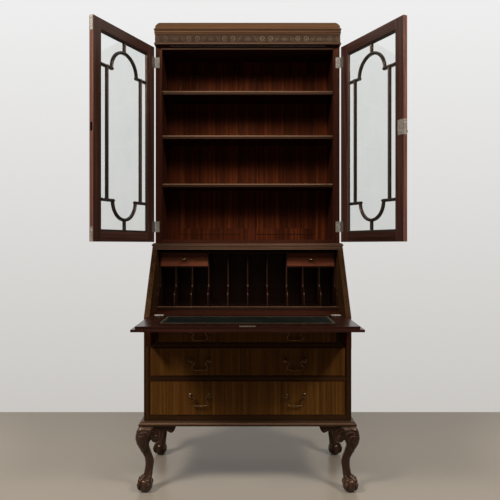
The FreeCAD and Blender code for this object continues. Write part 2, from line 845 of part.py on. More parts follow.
def bookcase():
    """Sides, floor, top, a framed and panelled back, shelves on pegs, waist moulding."""
    deep = ("upper_front", "frame_front")
    across = both("upper_inner")
    case = [
        board("upper_floor_piece", across, deep, ("bureau_top", "upper_floor")),
        board("upper_top_piece", across, deep, ("upper_ceiling", "upper_head")),
    ]
    for name, side in SIDES:
        wall = sided(side, "upper_inner", "upper_half")
        whole = ("upper_front", "case_back")
        case.append(board(f"upper_side_{name}", wall, whole, ("bureau_top", "upper_head")))
    node("bookcase_case", gather("upper_case", case))
    thick = ("frame_front", "case_back")
    frame = []
    for name, side in SIDES:
        stile = sided(side, "upper_inner - back_stile", "upper_inner")
        frame.append(board(f"back_stile_{name}", stile, thick, ("bureau_top", "upper_head")))
    rail = both("upper_inner - back_stile")
    low = ("bureau_top", "upper_floor + back_rail")
    high = ("upper_ceiling - back_rail", "upper_head")
    between = (low[1], high[0])
    frame.append(board("back_rail_low", rail, thick, low))
    frame.append(board("back_rail_high", rail, thick, high))
    frame.append(board("back_muntin_piece", both("back_muntin / 2"), thick, between))
    node("bookcase_back_frame", gather("back_members", frame))
    panels = []
    for name, side in SIDES:
        across_panel = sided(side, "back_muntin / 2", "upper_inner - back_stile")
        thin = ("frame_front + panel_setback", "frame_front + panel_setback + panel_thick")
        panels.append(board(f"back_panel_{name}", across_panel, thin, between))
    node("bookcase_back_panels", gather("panels", panels))
    pegs = []
    shelves = []
    for level in ("low_shelf", "middle_shelf", "high_shelf"):
        top = f"bureau_top + {level}"
        bottom = f"{top} - shelf_thick"
        shelf_deep = ("upper_front + shelf_setback", "frame_front - shelf_gap")
        shelves.append(board(f"{level}_board", both("upper_inner - shelf_gap"), shelf_deep, (bottom, top)))
        for name, side in SIDES:
            start = "-(upper_inner)" if side < 0 else "upper_inner - peg_reach"
            for end, place in (("front", "upper_front + peg_inset"), ("rear", "frame_front - peg_inset")):
                where = (start, place, f"{bottom} - peg_radius")
                peg = rod(f"peg_{level}_{name}_{end}", "peg_radius", "peg_reach", where, "x", PEG_SIDES)
                pegs.append(peg)
    node("shelves", gather("shelf_boards", shelves))
    node("shelf_pegs", gather("pegs", pegs))
    low = size("bureau_top")
    high = low + size("waist_height")
    reach = size("waist_reach")
    lip = size("waist_lip")
    profile = [
        (0, low),
        (reach, low),
        (reach, low + lip),
        ((reach + lip) / 2 + lip, (low + lip + high) / 2 + lip, lip, high),
        (0, high),
    ]
    waist = moulding("waist_run", "upper_half", "upper_front", profile)
    node("waist_moulding", cut("waist_bored", waist, bolt_hole("waist", "bureau_top + waist_height / 3")))


def bolt_hole(name, low):
    """The hole that a flush bolt of the left door shoots into."""
    place = ("-(meeting_gap / 2 + bolt_plate_width / 2)", "door_line + door_back - door_thick / 2", low)
    long = "bolt_plate_length / 4"
    return rod(f"{name}_bolt_hole", "bolt_radius + run_gap", long, place, "z", ROUND_SIDES)


def crown():
    """The frieze with its bead, and the cornice that falls back over a round nose."""
    heights = ("upper_head", "frieze_top")
    front = board("frieze_board", both("upper_half"), ("frieze_front", "upper_front"), heights)
    pieces = [cut("frieze_bored", front, bolt_hole("frieze", "upper_head - cut_over"))]
    for name, side in SIDES:
        across = sided(side, "upper_half - frieze_thick", "upper_half")
        pieces.append(board(f"frieze_return_{name}", across, ("upper_front", "case_back"), heights))
    low = size("upper_head")
    high = low + size("frieze_bead")
    reach = size("bead_reach")
    bead = [(0, low), (reach, (low + high) / 2, 0, high)]
    pieces.append(moulding("bead_run", "upper_half", "frieze_front", bead))
    node("frieze", gather("frieze_pieces", pieces))
    low = size("frieze_top")
    high = size("cornice_top")
    reach = size("cornice_reach")
    back = size("cornice_fall")
    nose = 2 * reach
    flat = high - size("cornice_splay")
    profile = [
        (-2 * back, low),
        (0, low),
        (reach, low + reach, 0, low + nose),
        (-reach / 4, low + nose),
        (-reach / 4, flat),
        (-back / 2 + reach / 4, (flat + high) / 2 + reach / 4, -back, high),
        (-2 * back, high),
    ]
    cap = moulding("cornice_run", "upper_half", "frieze_front", profile)
    lid = board(
        "cornice_lid",
        both("upper_half - 2 * cornice_fall"),
        ("frieze_front + 2 * cornice_fall", "case_back"),
        ("cornice_top - upper_top_board", "cornice_top"),
    )
    node("cornice", gather("cornice_pieces", [cap, lid]))


# The glazed doors, drawn shut about their hinge lines and then swung out


def swung(label, hand, *pieces):
    """Set pieces of a door on its hinge line, turned by the door's rest angle."""
    piece = gather(f"{label}_swung", pieces)
    piece.Placement = FreeCAD.Placement(Vector(), FreeCAD.Rotation(Vector(0, 0, 1), 1))
    bind(piece, "Placement.Base.x", "-(door_hinge_half)" if hand > 0 else "door_hinge_half")
    bind(piece, "Placement.Base.y", "door_line")
    bind(piece, "Placement.Rotation.Angle", "-left_door_turn" if hand > 0 else "right_door_turn")
    return node(label, piece)


ARCH_PARTS = 8


def bar_shape(name, hand, low_y, high_y, margin):
    """The astragal pattern between two depths: uprights, cross bars, two arches and their stems."""
    half = size("bar_width") / 2
    middle = hand * (size("door_gap") + size("door_width") / 2)
    inner = size("door_width") / 2 - size("stile_width") - margin
    floor = size("door_floor")
    low = floor + size("bottom_rail") + margin
    high = floor + size("door_height") - size("top_rail") - margin
    low_z = floor + size("low_bar")
    high_z = floor + size("high_bar")
    depth = high_y - low_y

    def bar(left, bottom, right, top):
        return Part.makeBox(right - left, depth, top - bottom, Vector(middle + left, low_y, bottom))

    pieces = []
    for side in (-1, 1):
        place = side * size("bar_place")
        pieces.append(bar(place - half, low_z - half, place + half, high_z + half))
        for arch, height in (("low_arch", low_z), ("high_arch", high_z)):
            near, far = sorted((side * (size(arch) - half), side * inner))
            pieces.append(bar(near, height - half, far, height + half))
    pieces.append(bar(-half, high_z + size("high_arch") - half, half, high))
    pieces.append(bar(-half, low, half, low_z - size("low_arch") + half))
    for arch, height, up in (("low_arch", low_z, -1), ("high_arch", high_z, 1)):
        start = Vector(middle, low_y, height)
        turns = [math.pi * turn / ARCH_PARTS for turn in range(ARCH_PARTS + 1)]
        corners = []
        for radius, angles in ((size(arch) + half, turns), (size(arch) - half, turns[::-1])):
            for angle in angles:
                corners.append(start + Vector(radius * math.cos(angle), 0, up * radius * math.sin(angle)))
        pieces.append(plane_face(corners).extrude(Vector(0, depth, 0)))
    return shaped(name, pieces[0].fuse(pieces[1:]).removeSplitter())


def door(name, hand):
    """Frame, astragal bars on both faces of the glass, glazing beads and hinge leaves."""
    thick = ("door_face", "door_back")
    heights = ("door_floor", "door_head")

    def across(near, far):
        return sided(hand, near, far)

    hinge_stile = board(f"{name}_stile_hinge", across("door_gap", "door_gap + stile_width"), thick, heights)
    free_stile = board(f"{name}_stile_free", across("door_far - stile_width", "door_far"), thick, heights)
    opening = across("door_gap + stile_width", "door_far - stile_width")
    low_rail = board(f"{name}_rail_low", opening, thick, ("door_floor", "door_floor + bottom_rail"))
    high_rail = board(f"{name}_rail_high", opening, thick, ("door_head - top_rail", "door_head"))
    fittings = left_fittings(name, hand) if hand > 0 else right_fittings(name, hand)
    free_stile = cut(f"{name}_stile_cut", free_stile, *fittings)
    swung(f"{name}_frame", hand, hinge_stile, free_stile, low_rail, high_rail)
    glass_front = "door_face + glass_depth"
    glass_back = f"{glass_front} + glass_thick"
    panes = ("door_floor + bottom_rail", "door_head - top_rail")
    swung(f"{name}_glass", hand, board(f"{name}_pane", opening, (glass_front, glass_back), panes))
    bead_far = f"{glass_back} + bead_depth"
    bead_span = (glass_back, bead_far)
    low_bead = (panes[0], f"{panes[0]} + bead_width")
    high_bead = (f"{panes[1]} - bead_width", panes[1])
    in_near, in_far = "door_gap + stile_width + bead_width", "door_far - stile_width - bead_width"
    beads = [
        board(f"{name}_bead_hinge", across("door_gap + stile_width", in_near), bead_span, panes),
        board(f"{name}_bead_free", across(in_far, "door_far - stile_width"), bead_span, panes),
        board(f"{name}_bead_low", across(in_near, in_far), bead_span, low_bead),
        board(f"{name}_bead_high", across(in_near, in_far), bead_span, high_bead),
    ]
    front = sheet_value(glass_front)
    back = sheet_value(glass_back)
    margin = size("bead_width")
    outside = bar_shape(f"{name}_bars_out", hand, size("door_face"), front, 0)
    inside = bar_shape(f"{name}_bars_in", hand, back, sheet_value(bead_far), margin)
    swung(f"{name}_bars", hand, outside, inside, *beads)
    swung(f"{name}_butts", hand, *[butt(f"{name}_leaf_{end}", hand, end, 1) for end in ("low", "high")])


def butt(name, hand, end, toward):
    """A butt leaf with its knuckles, on the door (1) or the case (-1), about the hinge line."""
    low = "door_floor + butt_inset" if end == "low" else "door_head - butt_inset - butt_height"
    pitch = "(butt_height + knuckle_gap) / 5"
    if toward > 0:
        thick = ("door_back", "door_back + butt_thick")
        turns = (1, 3)
    else:
        thick = ("-door_back - butt_thick", "-door_back")
        turns = (0, 2, 4)
    whole = (low, f"{low} + butt_height")
    pieces = [board(f"{name}_plate", sided(hand, "pin_room", "butt_width"), thick, whole)]
    for turn in turns:
        foot = f"{low} + {turn} * {pitch}"
        heights = (foot, f"{foot} + {pitch} - knuckle_gap")
        tall = f"{pitch} - knuckle_gap"
        sides = TRUE_ROUND if turn == 1 else ROD_SIDES
        pieces.append(rod(f"{name}_knuckle_{turn}", "butt_radius", tall, ("0", "0", foot), "z", sides))
        pieces.append(board(f"{name}_tab_{turn}", sided(hand, "0", "pin_room"), thick, heights))
    return joined(name, pieces)


def case_hinges(flush_leaves):
    """The leaves that stay on the case: the fall's flush ones and the doors' butts."""
    sets = list(flush_leaves)
    for name, hand in (("left", 1), ("right", -1)):
        leaves = [butt(f"case_{name}_{end}", hand, end, -1) for end in ("low", "high")]
        group = gather(f"case_{name}_leaves", leaves)
        bind(group, "Placement.Base.x", "-(door_hinge_half)" if hand > 0 else "door_hinge_half")
        bind(group, "Placement.Base.y", "door_line")
        sets.append(group)
    node("case_hinges", gather("case_hinge_set", sets))


def left_fittings(name, hand):
    """Flush bolts at both ends of the free edge; returns what is cut from the stile for them."""
    middle_y = "door_back - door_thick / 2"
    wide = (f"{middle_y} - bolt_plate_width / 2", f"{middle_y} + bolt_plate_width / 2")
    centre = "door_far - bolt_plate_width / 2"
    cuts = []
    plates = []
    for end in ("low", "high"):
        if end == "low":
            span = ("door_floor", "door_floor + bolt_plate_length")
            start = "door_floor + run_gap"
            hole = "door_floor - cut_over"
        else:
            span = ("door_head - bolt_plate_length", "door_head")
            start = "door_head - run_gap - bolt_length"
            hole = "door_head - bolt_length - bolt_travel"
        edge_room = sided(hand, "door_far - plate_thick", "door_far + cut_over")
        recess = board(f"{name}_recess_{end}", edge_room, wide, span)
        hand_centre = centre if hand > 0 else f"-({centre})"
        reach = "bolt_length + bolt_travel + cut_over"
        bore_start = (hand_centre, middle_y, hole)
        bore = rod(f"{name}_bore_{end}", "bolt_radius + run_gap", reach, bore_start, "z", ROUND_SIDES)
        cuts.append(joined(f"{name}_bolt_room_{end}", [recess, bore]))
        edge = sided(hand, "door_far - plate_thick", "door_far")
        plates.append(board(f"{name}_plate_{end}", edge, wide, span))
        bolt_start = (hand_centre, middle_y, start)
        bolt = rod(f"{name}_rod_{end}", "bolt_radius", "bolt_length", bolt_start, "z", ROUND_SIDES)
        swung(f"bolt_{end}", hand, bolt)
    lock_z = "door_floor + lock_place"
    mortise_span = (f"{lock_z} - lock_bolt_height", f"{lock_z} + lock_bolt_height")
    mortise_wide = (f"{middle_y} - lock_bolt_thick", f"{middle_y} + lock_bolt_thick")
    strike = sided(hand, "door_far - 2 * bolt_travel", "door_far + cut_over")
    cuts.append(board(f"{name}_mortise", strike, mortise_wide, mortise_span))
    swung(f"{name}_bolt_plates", hand, *plates)
    return cuts


def right_fittings(name, hand):
    """Lock, bolt, key and its hole; returns what is cut from the stile for them."""
    middle_y = "door_back - door_thick / 2"
    lock_z = "door_floor + lock_place"
    key_z = "door_floor + key_place"
    heights = (f"{lock_z} - lock_height / 2", f"{lock_z} + lock_height / 2")
    edge_wide = (f"{middle_y} - bolt_plate_width / 2", f"{middle_y} + bolt_plate_width / 2")
    bolt_wide = (f"{middle_y} - lock_bolt_thick / 2", f"{middle_y} + lock_bolt_thick / 2")
    bolt_span = (f"{lock_z} - lock_bolt_height / 2", f"{lock_z} + lock_bolt_height / 2")
    room_wide = (f"{bolt_wide[0]} - run_gap", f"{bolt_wide[1]} + run_gap")
    room_span = (f"{bolt_span[0]} - run_gap", f"{bolt_span[1]} + run_gap")
    edge = sided(hand, "door_far - plate_thick", "door_far")
    edge_room = sided(hand, "door_far - plate_thick", "door_far + cut_over")
    slot = sided(hand, "door_far - lock_width", "door_far + cut_over")
    recess = board(f"{name}_edge_recess", edge_room, edge_wide, heights)
    mortise = board(f"{name}_lock_mortise", slot, room_wide, room_span)
    key_x = "door_far - key_inset" if hand > 0 else "-(door_far - key_inset)"
    key_start = (key_x, "door_back + cut_over", key_z)
    key_room = "key_radius + run_gap"
    key_hole = rod(f"{name}_key_hole", key_room, "door_thick + 2 * cut_over", key_start, "-y", ROUND_SIDES)
    plate = board(f"{name}_edge_plate", edge, edge_wide, heights)
    plate_slot = board(f"{name}_plate_slot", slot, room_wide, room_span)
    case = board(
        f"{name}_lock_case",
        sided(hand, "door_far - lock_width", "door_far"),
        ("door_back", "door_back + plate_thick"),
        heights,
    )
    edge_plate = cut(f"{name}_edge_cut", plate, plate_slot)
    bolt_long = sided(hand, "door_far - lock_width + bolt_travel", "door_far - run_gap")
    swung(f"{name}_bolt", hand, board(f"{name}_bolt_bar", bolt_long, bolt_wide, bolt_span))
    shank_start = (key_x, "door_back - run_gap", key_z)
    shank_long = "door_thick + key_reach - run_gap"
    shank = rod(f"{name}_shank", "key_radius", shank_long, shank_start, "-y", ROUND_SIDES)
    swung(f"{name}_key", hand, joined(f"{name}_key_solid", [shank, key_bow(f"{name}_bow", hand)]))
    ring_start = (key_x, "door_face", key_z)
    disc = rod(f"{name}_disc", "escutcheon_radius", "plate_thick", ring_start, "-y", ROUND_SIDES)
    disc_hole_start = (key_x, "door_face + cut_over", key_z)
    disc_hole_long = "plate_thick + 2 * cut_over"
    disc_hole = rod(f"{name}_disc_hole", key_room, disc_hole_long, disc_hole_start, "-y", TRUE_ROUND)
    escutcheon = cut(f"{name}_disc_cut", disc, disc_hole)
    swung(f"{name}_lock", hand, edge_plate, case, escutcheon)
    return [recess, mortise, key_hole]


def key_bow(name, hand):
    """The ring of the key, upright on the end of its shank."""
    radius = size("key_bow")
    wire = size("key_wire")
    centre = Vector(
        hand * (size("door_far") - size("key_inset")),
        size("door_face") - size("key_reach") - radius,
        size("door_floor") + size("key_place"),
    )
    across = Vector(1, 0, 0)
    up = Vector(0, 0, 1)
    outside, inside = [
        plane_face(ring(centre - across * wire, across, up, reach, ROUND_SIDES))
        for reach in (radius + wire, radius - wire)
    ]
    return shaped(name, outside.cut(inside).extrude(across * (2 * wire)))


# Legs and brackets


LEG_SHARES = (
    # height above the ball's middle, outward place and half width of each section, and its roundness
    (1.0, -0.8, 0.54, 0.12),
    (0.92, -0.35, 0.56, 0.25),
    (0.84, -0.05, 0.55, 0.4),
    (0.776, 0.1, 0.53, 0.55),
    (0.69, 0.1, 0.445, 0.65),
    (0.6, -0.2, 0.38, 0.75),
    (0.46, -0.78, 0.313, 0.85),
    (0.345, -1.0, 0.31, 0.92),
    (0.23, -0.87, 0.3, 0.95),
    (0.05, -0.5, 0.34, 0.95),
)
BALL_SHARES = ((-1, 0.3), (-0.88, 0.5), (-0.66, 0.77), (-0.25, 0.97), (0.25, 0.97), (0.8, 0.6))
TOE_TURNS = (0, 78, 180, 282)
TOE_SHARES = ((12, 1.15), (38, 1), (62, 1.08), (84, 0.78), (106, 0.88), (132, 0.35))
BRACKET_SHARES = (
    (1, 0.1),
    (0.95, 0.34),
    (0.86, 0.48),
    (0.77, 0.43),
    (0.68, 0.36),
    (0.6, 0.46),
    (0.54, 0.72),
    (0.44, 0.95),
    (0.32, 0.97),
    (0.22, 0.8),
)


LEG_SIDES = 12
BALL_SIDES = 12
BRACKET_PARTS = 13


def section(centre, half, roundness):
    """Corners of a level square about a centre, from nearly sharp to a circle at roundness 1."""
    power = 2 / roundness
    corners = []
    for number in range(LEG_SIDES):
        angle = 2 * math.pi * number / LEG_SIDES
        spread = abs(math.cos(angle)) ** power + abs(math.sin(angle)) ** power
        reach = half / spread ** (1 / power)
        corners.append(centre + Vector(reach * math.cos(angle), reach * math.sin(angle), 0))
    return corners


def claw_leg():
    """The right front cabriole: a square head, knee and ankle, and four toes closed on a ball."""
    corner = Vector(size("case_half"), size("front_place"), 0)
    out = Vector(1, -1, 0)
    foot = size("ball_middle")
    rise = size("leg_height") - foot
    rings = []
    for height, place, half, roundness in LEG_SHARES:
        centre = corner + out * (place * size("knee_reach")) + Vector(0, 0, foot + height * rise)
        rings.append(section(centre, half * size("knee_width"), roundness))
    middle = corner - out * size("ball_inset") + Vector(0, 0, foot)
    radius = size("ball_radius")
    up = Vector(0, 0, 1)
    ball = []
    for rise, wide in BALL_SHARES:
        ball.append(ring(middle + up * (radius * rise), up, Vector(1, 0, 0), radius * wide, BALL_SIDES))
    toes = []
    for turn in TOE_TURNS:
        angle = math.radians(turn) - math.pi / 4
        level = Vector(math.cos(angle), math.sin(angle), 0)
        points = []
        radii = []
        for polar, thick in TOE_SHARES:
            tilt = math.radians(polar)
            points.append(middle + level * (radius * math.sin(tilt)) + up * (radius * math.cos(tilt)))
            radii.append(thick * size("toe_radius"))
        toes.append(tube(points, radii, Vector(-level.y, level.x, 0)))
    return faceted(rings).fuse([faceted(ball)] + toes).removeSplitter()


def bracket(name, side, end, along):
    """A scrolled knee bracket beside a leg, along the front ("x") or along a side ("y")."""
    reach = size("bracket_reach")
    drop = size("bracket_drop")
    top = size("leg_height")
    curve = Part.BSplineCurve()
    curve.interpolate([Vector(out * reach, 0, top - down * drop) for out, down in BRACKET_SHARES])
    corners = curve.discretize(Number=BRACKET_PARTS)
    corners += [Vector(corners[-1].x, 0, top), Vector(corners[0].x, 0, top)]
    slab = plane_face(corners).extrude(Vector(0, size("bracket_thick"), 0))
    corner_y = size("front_place") if end < 0 else size("case_back")
    place = Vector(side * size("case_half"), corner_y, 0)
    if along == "x":
        if side > 0:
            slab = slab.mirror(Vector(), Vector(1, 0, 0))
    else:
        slab.rotate(Vector(), Vector(0, 0, 1), 90)
        slab.translate(Vector(size("bracket_thick"), 0, 0) if side < 0 else Vector())
        if end > 0:
            slab = slab.mirror(Vector(), Vector(0, 1, 0))
    slab.translate(place)
    return shaped(name, slab)


def legs():
    """Four legs, and the brackets: two at each front leg, one at each rear leg."""
    pattern = claw_leg()
    middle = Vector(0, (size("front_place") + size("case_back")) / 2, 0)
    brackets = []
    for name, side in SIDES:
        for end_name, end in (("front", -1), ("rear", 1)):
            shape = pattern if side > 0 else pattern.mirror(Vector(), Vector(1, 0, 0))
            if end > 0:
                shape = shape.mirror(middle, Vector(0, 1, 0))
            leg = node(f"leg_{end_name}_{name}", shaped(f"claw_{end_name}_{name}", shape))
            ear = bracket(f"bracket_{end_name}_{name}", side, end, "y")
            brackets.append(cut(f"ear_{end_name}_{name}", ear, leg))
            if end < 0:
                ear = bracket(f"bracket_cross_{name}", side, end, "x")
                brackets.append(cut(f"ear_cross_{name}", ear, leg))
    node("knee_brackets", gather("brackets", brackets))


bureau_case()
drawer_frames()
base_moulding()
lopers()
drawer("drawer_low", "inner_half", "low_floor", "low_head")
drawer("drawer_middle", "inner_half", "middle_floor", "middle_head")
drawer("drawer_top", "wall_inner", "top_floor", "top_head")
case_hinges(fall())
pigeonholes()
bookcase()
crown()
door("door_left", 1)
door("door_right", -1)
legs()
doc.recompute()

os.makedirs("parts", exist_ok=True)
for piece in nodes:
    if "Invalid" in piece.State or "Error" in piece.State or not piece.Shape.isValid():
        raise SystemExit(f"{piece.Label} isn't sound: {piece.State}")
    if not piece.Shape.Solids:
        raise SystemExit(f"{piece.Label} has no solid")
for piece in nodes:
    piece.Shape.exportStep(f"parts/{piece.Label}.step")
print(len(nodes), "nodes")
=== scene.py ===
import bmesh
import bpy
import json
import random
from math import copysign, cos, hypot, pi, radians, sin, sqrt
from mathutils import Matrix, Vector
from mathutils.bvhtree import BVHTree

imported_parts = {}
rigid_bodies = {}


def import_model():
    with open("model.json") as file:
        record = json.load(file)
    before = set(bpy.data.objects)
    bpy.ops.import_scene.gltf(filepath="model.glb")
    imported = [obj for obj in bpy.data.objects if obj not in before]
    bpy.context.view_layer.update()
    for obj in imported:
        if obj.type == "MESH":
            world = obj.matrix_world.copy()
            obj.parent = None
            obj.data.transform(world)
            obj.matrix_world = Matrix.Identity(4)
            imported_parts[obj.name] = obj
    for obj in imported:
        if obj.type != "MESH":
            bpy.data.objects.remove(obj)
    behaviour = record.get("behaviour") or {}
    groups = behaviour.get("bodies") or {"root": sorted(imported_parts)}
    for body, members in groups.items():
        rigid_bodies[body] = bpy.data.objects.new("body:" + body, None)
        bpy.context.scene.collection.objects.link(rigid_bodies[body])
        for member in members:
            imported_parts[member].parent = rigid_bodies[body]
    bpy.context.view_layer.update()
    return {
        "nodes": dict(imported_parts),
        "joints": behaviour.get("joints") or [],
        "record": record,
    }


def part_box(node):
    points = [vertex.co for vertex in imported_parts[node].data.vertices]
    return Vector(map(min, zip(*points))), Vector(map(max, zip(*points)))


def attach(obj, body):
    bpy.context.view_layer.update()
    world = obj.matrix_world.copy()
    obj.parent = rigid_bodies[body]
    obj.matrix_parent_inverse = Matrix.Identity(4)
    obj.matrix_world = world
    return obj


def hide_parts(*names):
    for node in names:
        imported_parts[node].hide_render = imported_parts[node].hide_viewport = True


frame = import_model()
random.seed(7)
JOINTS = {joint["name"]: joint for joint in frame["joints"]}
BODY_OF = {node: body for body, members in frame["record"]["behaviour"]["bodies"].items() for node in members}
SLOT_OF = {entry["node"]: entry["material_slot"] for entry in frame["record"]["subparts"]}
RIGHT, BACK, FORWARD, UP = (1, 0, 0), (0, 1, 0), (0, -1, 0), (0, 0, 1)
HANDS, LEVELS = ("left", "right"), ("low", "middle", "top")

# Materials

# Repeats per metre along the grain, across it and through it
STREAKS, FIGURE, FIBRE, PORES = (1.3, 85, 85), (0.8, 13, 13), (14, 420, 420), (95, 1500, 1500)
SCRATCHES, RUBBED, SHEET_WAVE, SHADE_MOTTLE = (300, 2600, 2600), (7, 9, 9), (5, 9, 9), (400, 400, 400)
PEBBLES, MOTTLE = 900, (0.7, 0.7, 0.7)


def rgb(red, green, blue):
    """An sRGB colour from 0 to 255 as linear RGBA."""
    out = []
    for value in (red, green, blue):
        value /= 255
        out.append(value / 12.92 if value <= 0.04045 else ((value + 0.055) / 1.055) ** 2.4)
    return (*out, 1)


class Nodes:
    """A material's node tree, with short ways of adding and joining nodes."""

    def __init__(self, name):
        self.material = bpy.data.materials.new(name)
        self.material.use_nodes = True
        self.tree = self.material.node_tree
        self.shader = self.tree.nodes["Principled BSDF"]

    def put(self, socket, value):
        """Join a socket to another, or give it a value of its own."""
        if isinstance(value, bpy.types.NodeSocket):
            self.tree.links.new(value, socket)
        else:
            socket.default_value = value

    def add(self, kind, **inputs):
        """A new node, with its inputs and settings by name."""
        made = self.tree.nodes.new("ShaderNode" + kind)
        for key, value in inputs.items():
            words = key.replace("_", " ")
            if words in made.inputs:
                self.put(made.inputs[words], value)
            else:
                setattr(made, key, value)
        return made

    def set(self, **inputs):
        """Inputs of the surface by name."""
        for key, value in inputs.items():
            self.put(self.shader.inputs[key.replace("_", " ")], value)

    def attribute(self, name, output="Vector"):
        """What pieces store under a name: their grain, or their share of painted light and shade."""
        return self.add("Attribute", attribute_name=name).outputs[output]

    def noise(self, place, scale, detail=4, rough=0.55, distortion=0):
        """Noise over a place stretched by a scale along each axis."""
        stretched = self.add("Mapping", Vector=place, Scale=scale).outputs[0]
        made = self.add("TexNoise", Vector=stretched, Scale=1, Detail=detail, Distortion=distortion)
        self.put(made.inputs["Roughness"], rough)
        return made.outputs["Fac"]

    def ramp(self, value, *stops):
        """Colours, or shades of grey, at places from 0 to 1."""
        made = self.add("ValToRGB", Fac=value)
        elements = made.color_ramp.elements
        while len(elements) < len(stops):
            elements.new(0.5)
        for element, (place, colour) in zip(elements, stops):
            element.position = place
            element.color = (colour, colour, colour, 1) if isinstance(colour, (int, float)) else colour
        return made.outputs["Color"]

    def spread(self, value, low, high, start=0, end=1):
        """A value between start and end, spread from low to high."""
        made = self.add("MapRange", Value=value, From_Min=start, From_Max=end, To_Min=low, To_Max=high)
        return made.outputs[0]

    def maths(self, operation, first, second):
        made = self.add("Math", operation=operation)
        self.put(made.inputs[0], first)
        self.put(made.inputs[1], second)
        return made.outputs[0]

    def darken(self, factor, colour, shade):
        """A colour multiplied by a shade."""
        made = self.add("Mix", data_type="RGBA", blend_type="MULTIPLY")
        for number, value in ((0, factor), (6, colour), (7, shade)):
            self.put(made.inputs[number], value)
        return made.outputs[2]

    def bump(self, height, distance, strength):
        made = self.add("Bump", Height=height, Distance=distance, Strength=strength)
        self.set(Normal=made.outputs["Normal"])


def wood(
    name, dark, mid, light, rough=(0.26, 0.42), coat=0, figure=0.35, pores=0.55, wave=0.25, sunk=1, shine=0.1
):
    """Polished wood: broad figure, long streaks and fine pores along each board, with painted shade down to
    sunk where a piece's share of painted light is low.
    """
    made = Nodes(name)
    grain = made.attribute("grain")
    streaks = made.noise(grain, STREAKS, 6, 0.62, wave)
    broad = made.noise(grain, FIGURE, 3, 0.5, 2 * wave)
    fine = made.noise(grain, FIBRE, 3, 0.6)
    pits = made.noise(grain, PORES, 2, 0.5)
    streaks = made.maths("MULTIPLY", streaks, 1 - figure)
    value = made.maths("ADD", streaks, made.maths("MULTIPLY", broad, figure))
    colour = made.ramp(value, (0.3, rgb(*dark)), (0.5, rgb(*mid)), (0.7, rgb(*light)))
    colour = made.darken(0.8, colour, made.ramp(fine, (0.3, 0.72), (0.7, 1.0)))
    dashes = made.ramp(pits, (0.34, pores), (0.44, 1.0))
    colour = made.darken(1.0, colour, dashes)
    # Painted shade: colour darkens towards sunk where the painted_light share falls to 0
    if sunk < 1:
        colour = made.darken(1.0, colour, made.ramp(made.attribute("painted_light", "Fac"), (0.0, sunk), (1.0, 1.0)))
    made.set(Base_Color=colour, Roughness=made.spread(broad, *rough))
    made.set(Coat_Weight=coat, Coat_Roughness=0.2, Coat_IOR=1.45)
    made.set(Specular_IOR_Level=shine, Specular_Tint=rgb(235, 180, 140))
    made.bump(made.maths("ADD", made.maths("MULTIPLY", fine, 0.5), dashes), 0.00012, 0.6)
    return made.material


def metal(name, clean, dull, rough=(0.4, 0.55), scale=160, metallic=0.3):
    """Old metal: bright where it is touched, dull in patches, finely scratched."""
    made = Nodes(name)
    grain = made.attribute("grain")
    patches = made.noise(grain, (scale, scale, scale), 5, 0.6)
    scratches = made.noise(grain, SCRATCHES, 2, 0.5)
    made.set(Base_Color=made.ramp(patches, (0.38, rgb(*dull)), (0.62, rgb(*clean))), Metallic=metallic)
    made.set(Roughness=made.spread(patches, rough[1], rough[0]))
    made.bump(made.maths("ADD", patches, made.maths("MULTIPLY", scratches, 0.3)), 0.00008, 0.5)
    return made.material


def leather_material():
    """Dark green desk leather: pebbled, rubbed where arms rest."""
    made = Nodes("leather_green")
    grain = made.attribute("grain")
    wear_and_painted_light = made.noise(grain, RUBBED, 5, 0.6, 0.5)
    made.set(Base_Color=made.ramp(wear_and_painted_light, (0.35, rgb(6, 9, 7)), (0.7, rgb(14, 18, 15))))
    made.set(Roughness=made.spread(wear_and_painted_light, 0.34, 0.55), Specular_IOR_Level=0.12)
    made.bump(made.add("TexVoronoi", Vector=grain, Scale=PEBBLES).outputs["Distance"], 0.0002, 0.6)
    return made.material


def glass_material():
    """Old clear sheet glass with a faint wave in it."""
    made = Nodes("glass_clear")
    wave = made.noise(made.attribute("grain"), SHEET_WAVE, 2, 0.4)
    made.set(Base_Color=made.ramp(wave, (0.3, rgb(243, 247, 245)), (0.7, rgb(250, 252, 251))))
    made.set(Roughness=0.02, IOR=1.45, Transmission_Weight=1.0)
    made.bump(wave, 0.0004, 0.15)
    return made.material


def keyhole_material():
    """Painted shade for the inside of a keyhole, mottled."""
    made = Nodes("keyhole_dark")
    shade_mottle = made.noise(made.attribute("grain"), SHADE_MOTTLE)
    made.set(Base_Color=made.ramp(shade_mottle, (0.3, rgb(6, 4, 3)), (0.7, rgb(14, 9, 6))), Roughness=0.8)
    return made.material


MAHOGANY = wood("mahogany", (18, 7, 5), (42, 18, 11), (68, 33, 20))
# A lighter mahogany for the door frames, darkened to a third by painted shade on all but their free edges
DOOR_WOOD = wood("mahogany_doors", (42, 23, 18), (86, 54, 45), (122, 86, 73), coat=0.1, sunk=0.33, shine=0.2)
SIDE_WOOD = wood("mahogany_case", (26, 14, 7), (44, 27, 13), (62, 40, 20))
# Painted light: a lighter copy of the case mahogany for the cornice and frieze fillets, which catch light
# from above
CROWN_WOOD = wood("mahogany_crown_painted_light", (48, 32, 20), (70, 48, 31), (86, 61, 41), (0.38, 0.55))
